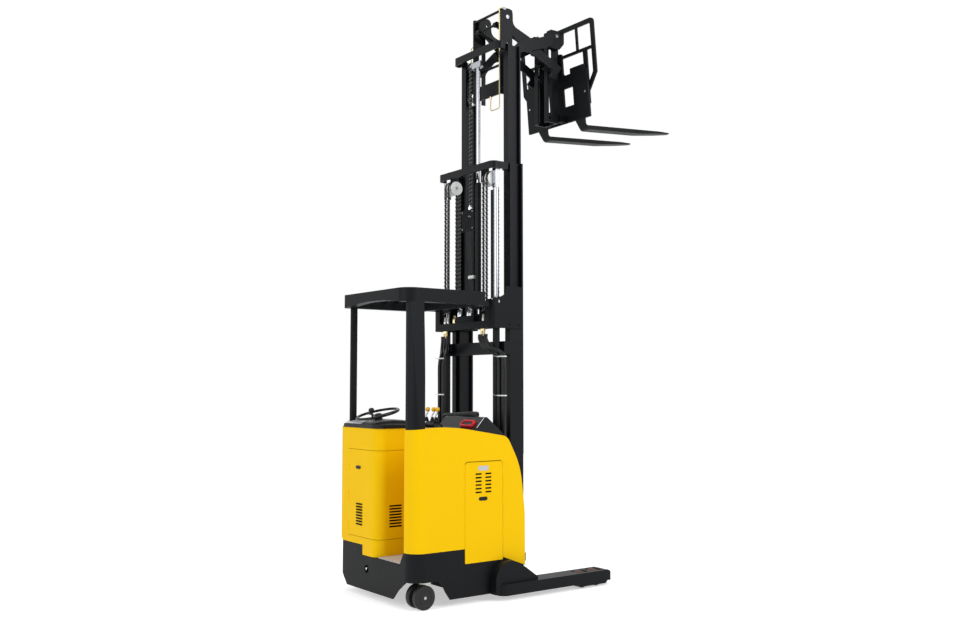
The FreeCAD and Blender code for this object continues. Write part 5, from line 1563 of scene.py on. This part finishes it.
@dataclass
class Fasteners(Assembly):
    """Bolt heads, pin caps and axle ends on every moving and fixed frame."""

    bracket_bolt: float = 9.0
    carriage_bolt: float = 10.0
    bracket_xs: tuple[float, ...] = (965.0, 1060.0)
    carriage_rows: tuple[float, ...] = (4110.0, 4240.0)
    carriage_side: float = 372.0
    fork_pin: tuple[float, float] = (250.0, 4294.0)
    recess: float = 1.7

    def build(self) -> None:
        """Fit the heads group by group."""
        for group in (self._guard, self._mast, self._reach, self._carriage, self._legs,
                      self._wheels):
            group()

    def _guard(self) -> None:
        """Cap screws where the guard sits on its pillar and on the mast."""
        box = self.box("overhead_guard")
        heads = [patch for side, y in box.sides for patch in socket_cap(
            (box.high[0] - 24, y - 40 * side, box.high[2] - 46), AHEAD, 8)]
        self.add("guard_screws", heads, ZINC)

    def _mast(self) -> None:
        """Bolt heads on the bracket's sides, and plated pins by the free lift's sheave."""
        box = self.box("mast_bracket")
        heads = [patch for side, y in box.sides for x in self.bracket_xs
                 for patch in bolt((x, y, box.low[2] + 30), (0, side, 0), self.bracket_bolt)]
        self.add("bracket_bolts", heads, FRAME_PAINT)
        box = self.box("free_lift_rod")
        pins = [lathe([(0, -3), (11, -3), (11, 2), (8, 4), (0, 4)],
                      Axes((box.middle[0], y - side, box.high[2] - 50), (0, side, 0)), 24)
                for side, y in box.sides]
        self.add("sheave_pin_caps", pins, CHROME, "free lift rod")

    def _reach(self) -> None:
        """Caps over each pivot pin of the reach mechanism."""
        for name, node, x, z, radius, finish in (
                ("reach_pin_caps", "reach_frame", 1116.0, 4659.0, 17, CHROME),
                ("front_pin_caps", "front_frame", 1672.0, 4618.0, 15, CHROME),
                ("hub_pin_caps", "rear_arms", 1352.0, 4468.0, 19, FRAME_PAINT)):
            caps = [self._cap((x, y, z), side, radius) for side, y in self.box(node).sides]
            self.add(name, caps, finish, node.replace("_", " "))

    @staticmethod
    def _cap(spot: Triple, side: float, radius: float) -> Patch:
        """A turned cap with a ring groove, facing along Y.

        Args:
            spot: the middle of its underside.
            side: 1 to face left, -1 to face right.
            radius: its radius.

        Returns:
            The cap.
        """
        r = radius
        return lathe([(0, -1), (r, -1), (r, 2.4), (r - 1.5, 3.6), (r * 0.62, 3.6),
                      (r * 0.56, 2.2), (r * 0.5, 3.6), (0, 3.9)], Axes(spot, (0, side, 0)))

    def _carriage(self) -> None:
        """Plated bolts at the carriage's rear, and a stop pin over each fork's hook."""
        back, body = self.box("fork_carriage").high[0] - 36, "fork carriage"
        heads = [patch for y in (-self.carriage_side, self.carriage_side)
                 for z in self.carriage_rows
                 for patch in bolt((back, y, z), BEHIND, self.carriage_bolt)]
        self.add("carriage_bolts", heads, CHROME, body)
        x, (y, z) = self.box("fork_right").low[0] + 18, self.fork_pin
        profile = [(0, -6), (9, -6), (9, 10), (13, 11), (13, 20), (11, 23), (0, 23)]
        self.add("fork_stop_pins", [lathe(profile, Axes((x, way * y, z)), 24)
                                    for way in (-1, 1)], ZINC, body)

    def _legs(self) -> None:
        """Axle ends just inside the legs' outer walls."""
        plug = [(0, -1), (13, -1), (13, 0.9), (11.5, 1.6), (5, 1.6), (4, 0.4), (0, 0.4)]
        ends = []
        for word, index in (("right", 0), ("left", 1)):
            side, y = self.box(f"outrigger_{word}").sides[index]
            for end in ("rear", "front"):
                x, _, z = self.box(f"load_wheel_{word}_{end}").middle
                ends.append(lathe(plug, Axes((x, y - self.recess * side, z + 6), (0, side, 0))))
        self.add("axle_ends", ends, ZINC)

    def _wheels(self) -> None:
        """Hub caps and nuts on both sides of the caster."""
        box = self.box("caster_wheels")
        x, _, z = box.middle
        caps = []
        for side, y in box.sides:
            axes = Axes((x, y - 3 * side, z), (0, side, 0))
            caps += [lathe([(0, -6), (30, -6), (31, -1), (24, 1), (0, 1)], axes, 36),
                     prism(hexagon(22), 0, 3, axes, 0.8)]
        self.add("caster_hub_caps", caps, ZINC, "caster wheels")


# ------------------------------------------------------------------ studio

@dataclass
class Studio:
    """Floor, soft lamps, world and camera, in metres.

    The camera's place is counted along X from the chassis's rear face.
    """

    rear: float
    eye: Triple = (-3.9033, -6.6115, 1.6170)
    rise: float = math.radians(94.2345)
    turn: float = math.radians(-36.627)
    lens: float = 37.33
    sensor: float = 36.0
    far: float = 200.0
    floor_size: float = 60.0
    floor_colour: Colour = (0.86, 0.86, 0.86, 1)
    floor_roughness: float = 0.9
    floor_lift: float = 0.5
    world_colour: Colour = (0.95, 0.97, 1.0, 1)
    world_strength: float = 0.55

    def build(self) -> None:
        """Make everything that isn't the truck."""
        self._camera()
        self._world()
        self._floor()
        for lamp in (("key", (2.5, -8.5, 6.0), (0.0, 0.0, 1.6), 5.0, 380),
                     ("fill", (-9.0, -1.0, 4.0), (0.0, 0.0, 1.6), 5.0, 200),
                     ("top", (-1.0, 0.5, 9.5), (0.0, 0.0, 2.0), 4.0, 190)):
            self._lamp(*lamp)

    def _camera(self) -> None:
        """Place the camera and make it the scene's."""
        data = bpy.data.cameras.new("camera")
        data.lens = self.lens
        data.sensor_width = self.sensor
        data.clip_end = self.far
        camera = bpy.data.objects.new("camera", data)
        camera.location = (self.eye[0] + self.rear, self.eye[1], self.eye[2])
        camera.rotation_euler = (self.rise, 0, self.turn)
        bpy.context.scene.collection.objects.link(camera)
        bpy.context.scene.camera = camera

    def _world(self) -> None:
        """An even grey that lights the truck, and plain white to the camera."""
        world = bpy.data.worlds.new("studio")
        world.use_nodes = True
        bpy.context.scene.world = world
        nodes, board = world.node_tree.nodes, Board(world.node_tree)
        lit = nodes["Background"]
        board.feed(lit.inputs["Color"], self.world_colour)
        board.feed(lit.inputs["Strength"], self.world_strength)
        plain = board.node("Background", {"Color": WHITE, "Strength": 1})
        mix = board.node("MixShader", {"Fac": self._seen(board), 1: lit.outputs[0],
                                       2: plain.outputs[0]})
        board.feed(nodes["World Output"].inputs["Surface"], mix.outputs[0])

    @staticmethod
    def _seen(board: Board) -> bpy.types.NodeSocket:
        """Give one for rays from the camera, off gloss and through glass, else nought.

        Args:
            board: places the nodes.

        Returns:
            The number.
        """
        path = board.node("LightPath").outputs
        first = board.math("MAXIMUM", path["Is Camera Ray"], path["Is Glossy Ray"])
        return board.math("MAXIMUM", first, path["Is Transmission Ray"])

    def _floor(self) -> None:
        """A wide pale floor whose lit parts reach white and whose shadows stay."""
        half = self.floor_size / 2
        mesh = bpy.data.meshes.new("floor")
        mesh.from_pydata([(-half, -half, 0), (half, -half, 0), (half, half, 0),
                          (-half, half, 0)], [], [(0, 1, 2, 3)])
        floor = bpy.data.objects.new("floor", mesh)
        bpy.context.scene.collection.objects.link(floor)
        material = bpy.data.materials.new("floor")
        material.use_nodes = True
        nodes, board = material.node_tree.nodes, Board(material.node_tree)
        shader = nodes["Principled BSDF"]
        board.feed(shader.inputs["Base Color"], self.floor_colour)
        board.feed(shader.inputs["Roughness"], self.floor_roughness)
        lift = board.math("MULTIPLY", self._seen(board), self.floor_lift)
        glow = board.node("Emission", {"Color": WHITE, "Strength": lift})
        both = board.node("AddShader", {0: shader.outputs[0], 1: glow.outputs[0]})
        board.feed(nodes["Material Output"].inputs["Surface"], both.outputs[0])
        mesh.materials.append(material)

    @staticmethod
    def _lamp(name: str, place: Triple, aim: Triple, size: float, power: float) -> None:
        """Hang one square lamp that looks at a point.

        Args:
            name: the lamp's name.
            place, aim: where it hangs and what it looks at, in metres.
            size: its side, in metres.
            power: its power, in watts.
        """
        data = bpy.data.lights.new(name, "AREA")
        data.shape = "SQUARE"
        data.size = size
        data.energy = power
        lamp = bpy.data.objects.new(name, data)
        lamp.location = place
        lamp.rotation_euler = (Vector(aim) - Vector(place)).to_track_quat("-Z", "Y").to_euler()
        bpy.context.scene.collection.objects.link(lamp)


# ------------------------------------------------------------------ assembly


def main() -> None:
    """Load the frame, finish it, and add the trim and the studio."""
    logging.basicConfig(level=logging.INFO, format="%(name)s: %(message)s")
    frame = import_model()
    bpy.context.scene.view_settings.view_transform = "Standard"
    Studio(rear=float(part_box("chassis_frame")[0][0])).build()
    shop = Workshop(frame)
    for assembly in (SteeringWheel, DeskControls, DashCover, Armrest, DoorTrim, MastHoses, Bundles,
                     Couplings, StageLines, ReachLines, Fasteners):
        LOG.info("building %s", assembly.__name__)
        assembly(shop).build()


if __name__ == "__main__":
    main()
